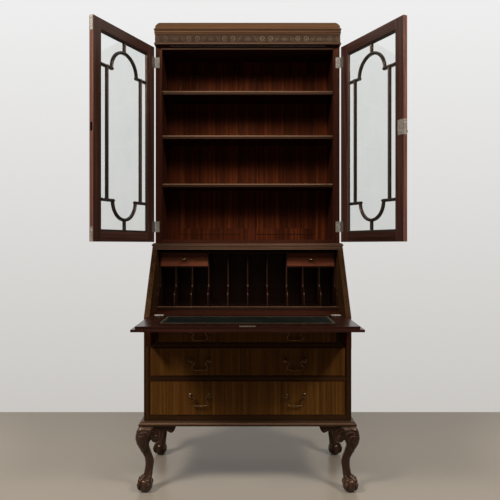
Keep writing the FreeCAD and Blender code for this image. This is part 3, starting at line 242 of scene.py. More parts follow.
# Partly painted sheen: the frieze woods are lighter and greyer than the case mahogany, standing in for its
# reflection
FRIEZE_WOOD = wood("mahogany_frieze", (46, 33, 25), (67, 50, 39), (84, 64, 51), (0.42, 0.6))
CARVED_WOOD = wood(
    "mahogany_carved_frieze", (58, 45, 35), (84, 67, 54), (104, 86, 70), (0.42, 0.6), pores=0.5, sunk=0.28
)
FRONT_WOOD = wood("mahogany_fronts", (48, 27, 9), (74, 45, 15), (98, 64, 26), (0.34, 0.46), 0.02, 0.3)
INNER_WOOD = wood(
    "mahogany_inside", (26, 9, 4), (56, 22, 9), (92, 42, 18), (0.4, 0.55), figure=0.25, wave=0.1, shine=0.05
)
FALL_WOOD = wood("mahogany_fall", (16, 6, 4), (32, 14, 9), (50, 24, 16), (0.16, 0.28), 0.1)
# Carved leg wood, with painted shade down to 0.28 in hollows
LEG_WOOD = wood(
    "mahogany_carved", (26, 16, 11), (46, 31, 23), (70, 51, 39), (0.24, 0.4), 0.12, sunk=0.28, shine=0.3
)
# The base moulding's wood, with painted shade down to 0.28 and a painted highlight set by its profile
BASE_WOOD = wood("mahogany_base", (54, 38, 28), (84, 62, 46), (110, 84, 64), sunk=0.28, shine=0.3)
# Painted highlight: a light copy of mahogany for the beads along front edges
EDGE_WOOD = wood("mahogany_edge", (58, 43, 32), (84, 64, 48), (108, 84, 66), shine=0.3)
BAR_WOOD = wood("mahogany_bars", (18, 15, 14), (36, 31, 28), (60, 54, 49), coat=0.1, shine=0.4)
# Painted light: a lighter copy of the case mahogany for the bureau top and waist moulding, lit from above
NOSE_WOOD = wood("mahogany_nose", (30, 19, 13), (54, 37, 28), (80, 58, 44))
# Painted shade: a near-black copy of mahogany for the pigeonholes and shelves, deep in shade
NEST_WOOD = wood("mahogany_pigeonholes", (12, 5, 3), (26, 11, 7), (42, 20, 13), coat=0.05, shine=0.3)
# Painted light: a lighter copy of mahogany for the small drawer faces, which sit in shade
SMALL_WOOD = wood("mahogany_small_drawers", (64, 30, 20), (100, 52, 35), (126, 72, 48), coat=0.05)
LINING = wood("drawer_lining_wood", (88, 60, 34), (126, 92, 56), (150, 114, 74), (0.5, 0.7))
LEATHER = leather_material()
GLASS = glass_material()
SHADOW = keyhole_material()
DARK_BRASS = metal("brass_dark", (132, 102, 68), (30, 20, 13), (0.24, 0.46), 420, 1.0)
PLATE_BRASS = metal("plate_worn", (146, 138, 128), (86, 78, 68), (0.35, 0.55), metallic=0.4)
BRIGHT = metal("steel_bright", (136, 130, 120), (80, 72, 62))
# Painted shade: a darker copy of the bright steel for the butts' door leaves
SHADED_STEEL = metal("steel_painted_shade", (92, 84, 75), (50, 44, 38))
LOCK_BRASS = metal("brass_lock", (88, 82, 60), (44, 40, 29), (0.4, 0.6))
GOLD = metal("gold_tooling", (112, 100, 76), (60, 53, 40), (0.4, 0.6), 90)

# Making pieces

EDGE, RUBBED_EDGE, METAL_EDGE, WALL_EDGE, LID_EDGE = 0.0008, 0.0015, 0.0003, 0.0005, 0.0004
NO_LENGTH, BEAD_STEPS, GRAIN_SHIFT = 1e-9, 5, 5


def mm(*rows):
    """Rows of millimetres in metres."""
    return [tuple(value / 1000 for value in row) for row in rows]


def pairs_round(points):
    """Each point with the one after it, and the last with the first."""
    return zip(points, points[1:] + points[:1])


def edges_of(x0, y0, x1, y1):
    """The four edges of a rectangle, each as two ends."""
    return pairs_round([(x0, y0), (x1, y0), (x1, y1), (x0, y1)])


def corners(node):
    """The two far corners of a node's box."""
    low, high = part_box(node)
    return Vector(low), Vector(high)


def extent(points):
    """The two far corners of the box round some points."""
    return tuple(Vector([pick(values) for values in zip(*points)]) for pick in (min, max))


def pivot_of(joint):
    return Vector(JOINTS[joint]["pos_m"])


def link(name, data):
    """A new object in the scene."""
    made = bpy.data.objects.new(name, data)
    bpy.context.scene.collection.objects.link(made)
    return made


def longest(verts, faces):
    """The direction that most edge length runs in, and of the longest edge square to it."""
    edges = []
    total = {}
    for face in faces:
        for first, second in pairs_round(list(face)):
            edge = Vector(verts[second]) - Vector(verts[first])
            if edge.length > 1e-6:
                edges.append(edge)
                way = edge.normalized()
                way = way if tuple(way) > (-1e-4, -1e-4, 0) else -way
                key = tuple(round(value, 2) + 0.0 for value in way)
                total[key] = total.get(key, 0) + edge.length
    along = Vector(max(total, key=total.get)).normalized()
    square = [edge for edge in edges if abs(edge.normalized().dot(along)) < 0.1]
    across = max(square, key=lambda edge: edge.length) if square else along.orthogonal()
    across = (across - along * across.dot(along)).normalized()
    return along, across


def joined(parts):
    """The corners and faces of several parts."""
    verts = []
    faces = []
    for part_verts, part_faces, *_ in parts:
        faces += [tuple(len(verts) + number for number in face) for face in part_faces]
        verts += [tuple(corner) for corner in part_verts]
    return verts, faces


def piece(name, parts, material, body="case", node=None, slot="mahogany", smooth=35, bevel=0):
    """One object from parts of corners, faces and, if wanted, grain direction and shares of painted light and
    shade.

    It rides on a body, or stands for a node, which it hides, and takes that node's body.
    """
    grain = []
    painted_light = []
    for part_verts, part_faces, *rest in parts:
        direction, light_shares = (*rest, None, None)[:2]
        painted_light += light_shares or [1.0] * len(part_verts)
        along, across = longest(part_verts, part_faces)
        if direction is not None:
            along = Vector(direction).normalized()
            across = along.orthogonal().normalized()
        third = along.cross(across)
        shift = Vector([random.uniform(-GRAIN_SHIFT, GRAIN_SHIFT) for _ in range(3)])
        for place in map(Vector, part_verts):
            grain += list(Vector((place.dot(along), place.dot(across), place.dot(third))) + shift)
    verts, faces = joined(parts)
    mesh = bpy.data.meshes.new(name)
    mesh.from_pydata(verts, [], faces)
    mesh.validate()
    mesh.attributes.new("grain", "FLOAT_VECTOR", "POINT").data.foreach_set("vector", grain)
    mesh.attributes.new("painted_light", "FLOAT", "POINT").data.foreach_set("value", painted_light)
    mesh.polygons.foreach_set("use_smooth", [True] * len(mesh.polygons))
    mesh.set_sharp_from_angle(angle=radians(smooth))
    mesh.materials.append(material)
    made = link(name, mesh)
    if bevel:
        edge = made.modifiers.new("edges", "BEVEL")
        edge.width = bevel
        edge.segments = 2
        edge.limit_method = "ANGLE"
        edge.angle_limit = radians(smooth)
        edge.harden_normals = True
    if node:
        body, slot = BODY_OF[node], SLOT_OF[node]
        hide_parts(node)
    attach(made, body)


def cad_parts(node):
    """Each solid of a node with its flat faces whole again."""
    mesh = frame["nodes"][node].data
    places = [tuple(round(value, 6) for value in vertex.co) for vertex in mesh.vertices]
    groups = []
    group = []
    waiting = {}
    for polygon in mesh.polygons:
        ends = [places[number] for number in polygon.vertices]
        group.append(ends)
        for edge in pairs_round(ends):
            back = edge[::-1]
            if waiting.get(back, 0):
                waiting[back] -= 1
                if not waiting[back]:
                    del waiting[back]
            else:
                waiting[edge] = waiting.get(edge, 0) + 1
        if not waiting:
            groups.append(group)
            group = []
    parts = []
    for group in groups:
        solid = bmesh.new()
        known = {}
        for ends in group:
            for corner in ends:
                if corner not in known:
                    known[corner] = solid.verts.new(corner)
            if len(set(ends)) == 3:
                solid.faces.new([known[corner] for corner in ends])
        bmesh.ops.dissolve_limit(
            solid, angle_limit=radians(0.5), verts=solid.verts, edges=solid.edges, delimit={"NORMAL"}
        )
        solid.verts.index_update()
        verts = [tuple(vertex.co) for vertex in solid.verts]
        parts.append((verts, [[vertex.index for vertex in face.verts] for face in solid.faces]))
        solid.free()
    return parts



def dress(node, material, bevel=EDGE, smooth=35, grain=None):
    """A node's own form with softened edges and a grain along each board."""
    parts = []
    for verts, faces in cad_parts(node):
        spans = [high - low for low, high in zip(*extent(verts))]
        longest_way = tuple(float(span == max(spans)) for span in spans)
        parts.append((verts, faces, grain or (None if node.startswith("door_") else longest_way)))
    piece(f"{node}_wood", parts, material, node=node, smooth=smooth, bevel=bevel)


def spline(points, steps):
    """Points on a smooth curve through the given ones."""
    out = []
    last = len(points) - 1
    for number in range(last):
        near = [points[max(0, min(last, number + shift))] for shift in (-1, 0, 1, 2)]
        for step in range(steps):
            t = step / steps
            weights = (
                (-t + 2 * t * t - t ** 3) / 2,
                (2 - 5 * t * t + 3 * t ** 3) / 2,
                (t + 4 * t * t - 3 * t ** 3) / 2,
                (-t * t + t ** 3) / 2,
            )
            out.append([sum(w * p[axis] for w, p in zip(weights, near)) for axis in range(len(points[0]))])
    out.append(list(points[-1]))
    return out


def oval(wide, high, count):
    """Points round an oval."""
    turns = [2 * pi * number / count for number in range(count)]
    return [(wide * cos(turn), high * sin(turn)) for turn in turns]


def skin(rings, closed_ends=True):
    """Faces between rings of equally many corners."""
    count = len(rings[0])
    verts = [tuple(corner) for ring in rings for corner in ring]
    faces = []
    for low in range(0, (len(rings) - 1) * count, count):
        for number in range(count):
            after = (number + 1) % count
            faces.append((low + number, low + after, low + count + after, low + count + number))
    if closed_ends:
        faces.append(tuple(reversed(range(count))))
        faces.append(tuple(len(verts) - count + number for number in range(count)))
    return verts, faces


def ring_about(centre, across, third, radius, sides, petals=0, depth=0):
    """Corners round a centre, in and out with petals if asked."""
    ring = []
    for side in range(sides):
        angle = 2 * pi * side / sides
        reach = radius * (1 + depth * cos(petals * angle))
        ring.append(centre + across * (reach * cos(angle)) + third * (reach * sin(angle)))
    return ring


def tube(points, radii, sides, up):
    """A round tube through points, with a radius at each."""
    points = [Vector(point) for point in points]
    last = len(points) - 1
    rings = []
    across = Vector(up)
    for number, point in enumerate(points):
        along = (points[min(number + 1, last)] - points[max(number - 1, 0)]).normalized()
        across = (across - along * across.dot(along)).normalized()
        rings.append(ring_about(point, across, along.cross(across), radii[number], sides))
    return skin(rings)


def tapered(rows, steps, sides, up):
    """A tube on a smooth line through a few rows of place and radius."""
    whole = spline(rows, steps)
    return tube([row[:3] for row in whole], [row[3] for row in whole], sides, up)


def lathe(centre, axis, profile, sides=24, petals=0, depth=0):
    """A turned form about an axis from (radius, distance along) pairs."""
    centre = Vector(centre)
    axis = Vector(axis).normalized()
    across = axis.orthogonal().normalized()
    third = axis.cross(across)
    rings = []
    for radius, along in profile:
        rings.append(ring_about(centre + axis * along, across, third, radius, sides, petals, depth))
    return skin(rings)


def strip(path, profile, normal, closed=False):
    """A profile of (aside, above) corners carried along a flat path whose plane has the given normal."""
    path = [Vector(point) for point in path]
    normal = Vector(normal).normalized()
    rings = []
    count = len(path)
    for number, point in enumerate(path):
        if closed:
            before, after = path[number - 1], path[(number + 1) % count]
        else:
            before, after = path[max(number - 1, 0)], path[min(number + 1, count - 1)]
        into, out = point - before, after - point
        into, out = (into if into.length > NO_LENGTH else out), (out if out.length > NO_LENGTH else into)
        into.normalize()
        along = (into + out.normalized()).normalized()
        stretch = 1 / max(0.3, along.dot(into))
        side = normal.cross(along)
        rings.append([point + side * (aside * stretch) + normal * above for aside, above in profile])
    if closed:
        rings.append(rings[0])
    return skin(rings, not closed)


def bead(first, second, width, rise):
    """A half-round bead between two places on a face that looks forward."""
    turns = [pi * k / BEAD_STEPS for k in range(BEAD_STEPS + 1)]
    profile = [(-width / 2 * cos(turn), rise * sin(turn)) for turn in turns]
    return strip([first, second], profile, FORWARD)


def bead_frame(node, inset, width, rise):
    """Four beads round the front of a node, inset from its edges."""
    low, high = corners(node)
    edges = edges_of(low.x + inset, low.z + inset, high.x - inset, high.z - inset)
    return [bead((x0, low.y, z0), (x1, low.y, z1), width, rise) for (x0, z0), (x1, z1) in edges]


# Boards that keep the form of their solids

PLAIN = {
    "bureau_side_left": SIDE_WOOD, "bureau_side_right": SIDE_WOOD, "bureau_top": NOSE_WOOD,
    "bureau_back": INNER_WOOD, "waist_moulding": NOSE_WOOD,
    "writing_bed": MAHOGANY, "drawer_rails": SIDE_WOOD, "loper_left": MAHOGANY, "loper_right": MAHOGANY,
    "pigeonhole_case": NEST_WOOD, "pigeonhole_dividers": NEST_WOOD, "fall_board": FALL_WOOD,
    "bookcase_case": MAHOGANY, "bookcase_back_frame": INNER_WOOD, "bookcase_back_panels": INNER_WOOD,
    "shelves": NEST_WOOD, "frieze": FRIEZE_WOOD,
    "door_left_frame": DOOR_WOOD, "door_right_frame": DOOR_WOOD,
    **{f"drawer_{level}_front": FRONT_WOOD for level in LEVELS},
    **{f"drawer_{level}_box": LINING for level in LEVELS},
}
for node, material in PLAIN.items():
    upright = UP if node.endswith("_front") or node.startswith("bookcase_back") else None
    dress(node, material, RUBBED_EDGE if node in ("shelves", "fall_board") else EDGE, grain=upright)

# Beads round the back panels, and on the front edges of the bookcase's top and shelves and of the pigeonhole
# base in a lighter wood as a painted highlight

MUNTIN, BACK_STILE, BACK_RAIL, BACK_LAP, BACK_BEAD, BACK_RISE = 0.078, 0.065, 0.06, 0.001, 0.004, 0.0016
EDGE_BEAD, NOSING, EDGE_RISE, NEST_BEAD, NEST_RISE = 0.004, 0.007, 0.0012, 0.0035, 0.001
TOP_BOARD, NEST_BASE = 0.016, 0.016

low, high = corners("bookcase_back_frame")
bottom, top = low.z + BACK_RAIL, high.z - BACK_RAIL
inner, outer = MUNTIN / 2, high.x - BACK_STILE + BACK_LAP
parts = []
for side in (-1, 1):
    for x0, z0, x1, z1 in (
        (inner, bottom, inner, top), (outer, bottom, outer, top),
        (inner, top, outer, top), (inner, bottom, outer, bottom),
    ):
        parts.append(bead((side * x0, low.y, z0), (side * x1, low.y, z1), BACK_BEAD, BACK_RISE))
piece("back_panel_beads", parts, MAHOGANY, smooth=50)

low, high = corners("bookcase_case")
inside = corners("shelves")[1].x
ends = [(side * inside, low.y, high.z - TOP_BOARD + EDGE_BEAD / 2) for side in (-1, 1)]
piece("case_top_bead", [bead(*ends, EDGE_BEAD, EDGE_RISE)], EDGE_WOOD, smooth=50)
parts = []
for verts, _ in cad_parts("shelves"):
    low, high = extent(verts)
    ends = [(x, low.y, high.z - NOSING / 2) for x in (-high.x, high.x)]
    parts.append(bead(*ends, NOSING, EDGE_RISE))
piece("shelf_nosings", parts, EDGE_WOOD, smooth=50)
low, high = corners("pigeonhole_case")
ends = [(x, low.y, low.z + NEST_BASE - NEST_BEAD / 2) for x in (low.x, high.x)]
piece("pigeonhole_bead", [bead(*ends, NEST_BEAD, NEST_RISE)], EDGE_WOOD, smooth=50)

# Doors painted light on their free edges, with painted shade on all their other faces

FREE_EDGE, FACES_OUT = 0.002, 0.9
for side in HANDS:
    mesh = bpy.data.objects[f"door_{side}_frame_wood"].data
    pivot = pivot_of(f"door_{side}_hinge")
    far = max((vertex.co - pivot).xy.length for vertex in mesh.vertices)
    free = [vertex.co.xy for vertex in mesh.vertices if (vertex.co - pivot).xy.length > far - FREE_EDGE]
    outward = (sum(free, Vector((0, 0))) / len(free) - pivot.xy).normalized()
    # Painted light: faces looking out from the free edge keep full colour; every other face takes DOOR_WOOD's
    # painted shade
    wear_and_painted_light = [float(polygon.normal.xy.dot(outward) > FACES_OUT) for polygon in mesh.polygons]
    mesh.attributes.remove(mesh.attributes["painted_light"])
    mesh.attributes.new("painted_light", "FLOAT", "FACE").data.foreach_set("value", wear_and_painted_light)

# Metal, leather and glass that keep the form of their solids

METAL = {
    "case_hinges": BRIGHT, "fall_hinges": BRIGHT, "fall_lock": LOCK_BRASS, "shelf_pegs": DARK_BRASS,
    "door_left_butts": SHADED_STEEL, "door_right_butts": SHADED_STEEL, "door_left_bolt_plates": BRIGHT,
    "bolt_high": BRIGHT, "bolt_low": BRIGHT, "door_right_lock": PLATE_BRASS, "door_right_bolt": BRIGHT,
}
for node, material in METAL.items():
    turned = node in ("case_hinges", "shelf_pegs", "bolt_high", "bolt_low")
    dress(node, material, METAL_EDGE, 50 if turned else 35)
dress("fall_leather", LEATHER, METAL_EDGE)
for side in HANDS:
    dress(f"door_{side}_glass", GLASS, 0)

# Small drawers: the front, its box and a turned knob of (radius, distance from the front)

KNOB = mm(
    (8.5, -1), (8.5, 1.2), (5.5, 2), (3.6, 4), (3.4, 8.5), (4.8, 10.5),
    (7.2, 13), (8, 16.5), (7.6, 19.5), (5.5, 22.2), (2.2, 23.5),
)
for side in HANDS:
    drawer = f"small_drawer_{side}"
    boxes = [part for part in cad_parts(drawer) if len(part[0]) == 8]
    face = min(boxes, key=lambda part: extent(part[0])[0].y)
    walls = [part for part in boxes if part is not face]
    piece(f"{drawer}_face", [face], SMALL_WOOD, node=drawer, bevel=EDGE)
    piece(f"{drawer}_walls", walls, LINING, drawer, bevel=WALL_EDGE)
    low, high = extent(face[0])
    centre = Vector(((low.x + high.x) / 2, low.y, (low.z + high.z) / 2))
    piece(f"{drawer}_knob", [lathe(centre, FORWARD, KNOB)], DARK_BRASS, drawer)

# Handles: rosettes and posts on each drawer, and a bail that swings between them

POST_SPREAD, PETALS, PETAL_SHARE, COLLAR_PLACE, COLLAR_DROP = 0.083, 8, 0.09, 0.0045, -0.0397
ROSE = mm((11.2, -0.5), (11.2, 0.8), (9.6, 1.8), (8.2, 1.5), (6.8, 3), (4.8, 3.2))
POST = mm(
    (4.5, 1), (3.8, 4), (3.6, 8.5), (4.6, 10.2), (5.8, 12.8), (6, 15.2), (5.6, 17.8), (4.2, 19.8), (1.8, 20.9)
)
COLLAR = mm((2, -1.6), (3.4, -0.8), (3.7, 0), (3.4, 0.8), (2, 1.6))
# Half a bail: distance from its middle, height against its pivot, and radius
BAIL = spline(mm(
    (38.5, 0, 2), (31.5, -0.4, 2.1), (26.2, -3.2, 2.4), (25.2, -9.5, 2.7), (29.8, -18.2, 2.7),
    (34.2, -26.8, 2.6), (31.8, -35, 2.6), (22.5, -39.2, 2.7), (11, -39.6, 3.1), (0, -39.8, 2.6),
), 6)
BAIL = [(-x, z, radius) for x, z, radius in BAIL] + BAIL[-2::-1]
for level in LEVELS:
    front = corners(f"drawer_{level}_front")[0].y
    parts = []
    for side in HANDS:
        pivot = pivot_of(f"drawer_{level}_bail_{side}_swing")
        for end in (-1, 1):
            foot = Vector((pivot.x + end * POST_SPREAD / 2, front, pivot.z))
            parts.append(lathe(foot, FORWARD, ROSE, 48, PETALS, PETAL_SHARE))
            parts.append(lathe(foot, FORWARD, POST, 20))
        path = [pivot + Vector((x, 0, z)) for x, z, _ in BAIL]
        swing = [tube(path, [radius for _, _, radius in BAIL], 12, BACK)]
        for place in (-COLLAR_PLACE, COLLAR_PLACE):
            swing.append(lathe(pivot + Vector((place, 0, COLLAR_DROP)), RIGHT, COLLAR, 12))
        name = f"drawer_{level}_bail_{side}"
        piece(f"{name}_cast", swing, DARK_BRASS, node=name, smooth=60)
    piece(f"drawer_{level}_roses", parts, DARK_BRASS, node=f"drawer_{level}_posts", smooth=40)

# Legs: one carved cabriole on a ball and claw, turned to face out at all four corners

LEG_TOP = corners("leg_front_right")[1].z
KNEE_WIDTH, KNEE_REACH, KNEE_RELIEF, KNEE_SHARE, SHAFT_SIDES = 0.06, 0.022, 0.0024, 0.6, 48
# Shares of the shaft's height, the knee's reach and its width (for the half width), then the roundness
LEG_SHARES = (
    (1.0, -0.8, 0.54, 0.12), (0.96, -0.6, 0.55, 0.18), (0.92, -0.35, 0.56, 0.25), (0.84, -0.05, 0.55, 0.4),
    (0.776, 0.1, 0.53, 0.55), (0.69, 0.1, 0.445, 0.65), (0.6, -0.2, 0.38, 0.75), (0.46, -0.78, 0.313, 0.85),
    (0.345, -1.0, 0.31, 0.92), (0.23, -0.87, 0.3, 0.95), (0.05, -0.5, 0.34, 0.95),
)
SHAFT_LINE = spline(LEG_SHARES, 7)
LEAF_TOP_SHARE, LEAF_SHARE, LEAF_WIDTH = 0.985, 0.56, 1.15


def knee_relief(height, turn):
    """How high the carved leaf is, from 0 to 1, at a height share and an angle from the outward corner."""
    rise = (LEAF_TOP_SHARE - height) / LEAF_SHARE
    if not 0 < rise < 1:
        return 0
    waves = 0.84 + 0.16 * cos(9 * pi * rise)
    width = LEAF_WIDTH * sin(pi * rise ** 0.8) ** 0.7 * waves + 1e-6
    inside = 1 - abs(turn) / width
    if inside <= 0:
        return 0
    edge = min(1, inside * 4)
    vein = 0.3 + 0.7 * min(1, abs(turn) / 0.09)
    ribs = 0.74 + 0.26 * cos(15 * pi * rise + 7 * abs(turn))
    return edge * edge * (3 - 2 * edge) * vein * ribs


def leg_shaft():
    """The shaft about the case's corner at the origin, facing out to +x and -y."""
    rings = []
    painted_light = []
    for height, place, half, roundness in SHAFT_LINE:
        sunk = sin(pi * min(1, max(0, (1 - height) / KNEE_SHARE)))
        level = BALL_RADIUS + height * (LEG_TOP - BALL_RADIUS)
        centre = Vector((place * KNEE_REACH, -place * KNEE_REACH, level))
        power = 2 / max(roundness, 0.1)
        ring = []
        for number in range(SHAFT_SIDES):
            angle = 2 * pi * number / SHAFT_SIDES
            spread = abs(cos(angle)) ** power + abs(sin(angle)) ** power
            turn = (angle + pi / 4 + pi) % (2 * pi) - pi
            leaf = knee_relief(height, turn)
            reach = half * KNEE_WIDTH / spread ** (1 / power) + (leaf - sunk) * KNEE_RELIEF
            ring.append(centre + Vector((reach * cos(angle), reach * sin(angle), 0)))
            # Painted shade: the hollow of the knee darkens, while the carved leaf stays lighter
            painted_light.append(0.8 - 0.7 * sunk * (1 - leaf))
        rings.append(ring)
    verts, faces = skin(rings)
    return verts, [tuple(reversed(face)) for face in faces], painted_light


BALL_INSET, BALL_RADIUS, BALL_SPREAD, BALL_ROUND, BALL_POLE = 0.005, 0.031, 1.04, 0.82, 0.0005
TOE_RADIUS, TOE_LIFT, TALON_LIFT, TOE_SPREAD = 0.0085, 1.06, 1.04, 1.07
TOE_TURNS = (0, 78, 180, 282)
# Height in metres, share of the shaft's half width, share of the toe's radius
SINEW_SHARES = ((0.112, 0.8, 0.2), (0.095, 0.93, 0.32), (0.079, 0.97, 0.5), (0.067, 0.95, 0.66))
# Degrees from the ball's top, for the talon a share of its lift, and a share of the toe's radius
TOE_SHARES = ((40, 0.86), (50, 1.0), (61, 0.76), (72, 0.8), (82, 0.94), (90, 0.7), (95, 0.42))
TALON_SHARES = ((86, 1.02, 0.5), (96, 1.06, 0.56), (108, 1.05, 0.46), (120, 1.03, 0.3), (131, 1.0, 0.1))
BALL_MIDDLE = Vector((-BALL_INSET, BALL_INSET, BALL_RADIUS))


def shaft_at(high):
    """The outward place and half width of the shaft at a height in metres."""
    share = (high - BALL_RADIUS) / (LEG_TOP - BALL_RADIUS)
    section = min(SHAFT_LINE, key=lambda entry: abs(entry[0] - share))
    return section[1] * KNEE_REACH, section[2] * KNEE_WIDTH


def on_ball(level, polar, reach, radius):
    """A place over the ball, so many degrees from its top towards a level direction, and a radius there."""
    tilt = radians(polar)
    return (*(BALL_MIDDLE + (level * sin(tilt) * TOE_SPREAD + Vector(UP) * cos(tilt)) * reach), radius)


def leg_foot():
    """The ball, and four toes closed on it, each with knuckles, a sinew up the ankle and a talon."""
    profile = []
    for degrees in range(0, 181, 9):
        out, high = sin(radians(degrees)), -cos(radians(degrees))
        reach = max(BALL_POLE, BALL_SPREAD * BALL_RADIUS * out ** BALL_ROUND)
        profile.append((reach, BALL_RADIUS * copysign(abs(high) ** BALL_ROUND, high)))
    parts = [lathe(BALL_MIDDLE, UP, profile, 36)]
    for turn in TOE_TURNS:
        angle = radians(turn) - pi / 4
        level = Vector((cos(angle), sin(angle), 0))
        toe = []
        for high, out, thick in SINEW_SHARES:
            place, half = shaft_at(high)
            toe.append((*(Vector((place, -place, high)) + level * (half * out)), thick * TOE_RADIUS))
        for polar, thick in TOE_SHARES:
            toe.append(on_ball(level, polar, BALL_RADIUS * TOE_LIFT, thick * TOE_RADIUS))
        parts.append(tapered(toe, 5, 14, level))
        talon = []
        for polar, lift, thick in TALON_SHARES:
            talon.append(on_ball(level, polar, BALL_RADIUS * lift * TALON_LIFT, thick * TOE_RADIUS))
        parts.append(tapered(talon, 4, 12, level))
    return parts


BRACKET_REACH, BRACKET_DROP, BRACKET_THICK, BRACKET_SWELL, SWELL_SHARE = 0.141, 0.081, 0.018, 0.03, 0.62
# Shares of the bracket's reach and drop
BRACKET_SHARES = (
    (1, 0.1), (0.95, 0.34), (0.86, 0.48), (0.77, 0.43), (0.68, 0.36), (0.6, 0.46), (0.54, 0.72),
    (0.44, 0.95), (0.32, 0.97), (0.22, 0.8),
)
# The round of the bracket's lower edge: back from its face, and up
BRACKET_ROUND = mm((3, 0), (1, 0.6), (0, 2.2))


def bracket_part():
    """A bracket along the front, from the corner at the origin to -x, whose face swells to meet the knee."""
    rings = []
    for out, down in spline(BRACKET_SHARES, 6):
        x = -out * BRACKET_REACH
        low = LEG_TOP - down * BRACKET_DROP
        face = low + BRACKET_ROUND[-1][1]
        swell = BRACKET_SWELL * max(0, 1 - out / SWELL_SHARE) ** 1.6
        ring = [(x, BRACKET_THICK, LEG_TOP), (x, BRACKET_THICK, low)]
        ring += [(x, back - swell * 0.75, low + rise) for back, rise in BRACKET_ROUND]
        for share in [step / 9 for step in range(1, 9)]:
            out_to = -swell * (0.75 + 0.25 * sin(pi * share))
            ring.append((x, out_to, face + (LEG_TOP - face) * share))
        rings.append(ring + [(x, -swell * 0.7, LEG_TOP)])
    verts, faces = skin(rings)
    # Painted shade: the whole bracket is darker than the knee
    return verts, faces, [0.3] * len(verts)


def line(*rows):
    """A smooth line through places in millimetres."""
    return spline(mm(*rows), 5)


def volute(centre, start, reach, turns, hand, steps=30):
    """Points of a scroll that winds inward to its eye."""
    points = []
    for step in range(steps + 1):
        t = step / steps
        angle = radians(start) + hand * 2 * pi * turns * t
        radius = reach * (1 - 0.8 * t ** 0.8)
        points.append((centre[0] + radius * cos(angle), centre[1] + radius * sin(angle)))
    return points


RAY_START, RAY_END, SCROLL_SUNK_SHARE = -0.2, 0.02, 0.15
# Scrolls of the knee and its bracket: lines of inward place and height, then the widest half width in metres
SCROLLS = (
    (line((2, 278), (20, 285.5), (42, 283.5), (61, 272), (70.5, 256), (69.5, 240))
     + volute((0.0575, 0.2405), 0, 0.012, 1.3, -1), 0.0038),
    (line((-12, 262), (4, 268), (22, 262), (32, 246), (28, 226), (16, 204), (4, 180)), 0.0032),
    (line((-18, 250), (-2, 252), (12, 240), (14, 220), (6, 196), (-2, 172)), 0.0026),
    (line((36, 268), (50, 262), (56, 252)), 0.0019),
    (line((40, 256), (46, 250), (46, 242)), 0.0016),
    (line((74, 262), (84, 272), (100, 276), (112, 270))
     + volute((0.1175, 0.2725), 180, 0.006, 1.0, 1, 16), 0.0022),
    (line((88, 284), (105, 288), (122, 286), (134, 288.5)), 0.0016),
    (line((78, 284), (79, 276), (86, 268.5)), 0.0016),
)


def carved(scrolls, ground):
    """Ridges that follow scrolls over the front of some parts."""
    tree = BVHTree.FromPolygons(*joined(ground))
    parts = []
    for route, thick in scrolls:
        points = []
        radii = []
        for number, (inward, height) in enumerate(route):
            hit = tree.ray_cast(Vector((-inward, RAY_START, height)), Vector(BACK))[0]
            if hit is None or hit.y > RAY_END:
                continue
            points.append(hit + Vector((0, SCROLL_SUNK_SHARE * thick, 0)))
            share = number / (len(route) - 1)
            radii.append(thick * (0.35 + 0.65 * sin(pi * min(1, 0.12 + share * 0.82)) ** 0.6))
        if len(points) > 3:
            parts.append(tube(points, radii, 8, BACK))
    return parts


def across_diagonal(part):
    """A part turned over the leg's diagonal, from its front face to its side face."""
    # high holds the part's shares of painted light, if it has them
    verts, faces, *high = part
    return [(-y, -x, z) for x, y, z in verts], [tuple(reversed(face)) for face in faces], *high


def placed(part, corner, side, end, direction=UP):
    """A part set at a corner of the case, mirrored to face out there."""
    # high holds the part's shares of painted light, if it has them
    verts, faces, *high = part
    verts = [(corner.x + side * x, corner.y + end * y, z) for x, y, z in verts]
    faces = faces if side * end > 0 else [tuple(reversed(face)) for face in faces]
    return verts, faces, direction, *high


shaft = leg_shaft()
bracket = bracket_part()
scrolls = carved(SCROLLS, [shaft, bracket])
side_scrolls = [across_diagonal(part) for part in scrolls]
foot = leg_foot()
case_low, case_high = corners("bureau_side_left")[0], corners("bureau_side_right")[1]
bracket_parts = []
for side_name, side in (("left", -1), ("right", 1)):
    for end_name, end in (("front", 1), ("rear", -1)):
        node = f"leg_{end_name}_{side_name}"
        corner = Vector((case_high.x if side > 0 else case_low.x, case_low.y if end > 0 else case_high.y, 0))
        leg = [shaft] + foot + (scrolls if end > 0 else []) + side_scrolls
        parts = [placed(part, corner, side, end) for part in leg]
        piece(f"{node}_carved", parts, LEG_WOOD, node=node, smooth=45)
        if end > 0:
            bracket_parts.append(placed(bracket, corner, side, end, RIGHT))
        bracket_parts.append(placed(across_diagonal(bracket), corner, side, end, BACK))
piece("knee_brackets_carved", bracket_parts, LEG_WOOD, node="knee_brackets", smooth=45)

# The frieze: scrolls in pairs with leaves between them, carved in low relief over a ground in painted shade

BAND_LOW, BAND_HIGH, STEP, FRIEZE_OUT, GROUND = 2.0475, 2.0855, 0.0011, 0.022, 0.0002
BAND_MIDDLE = (BAND_LOW + BAND_HIGH) / 2
SCROLL_REACH, SCROLL_START, SCROLL_TURNS, SCROLL_APART, SCROLL_DOWN = 0.0148, -125, 1.45, 0.0185, 0.0005
SCROLL_HALF, SCROLL_TAPER, SCROLL_EYE, EYE_LONG = 0.0026, 0.0008, 0.0031, 0.0002
LEAF_FOOT, LEAF_REACH, LEAF_THIN, LEAF_THICK = 0.013, 0.026, 0.0008, 0.0027
FRIEZE_MARGIN, FILLET_MARGIN, FULL_RELIEF = 0.008, 0.0015, 0.0018
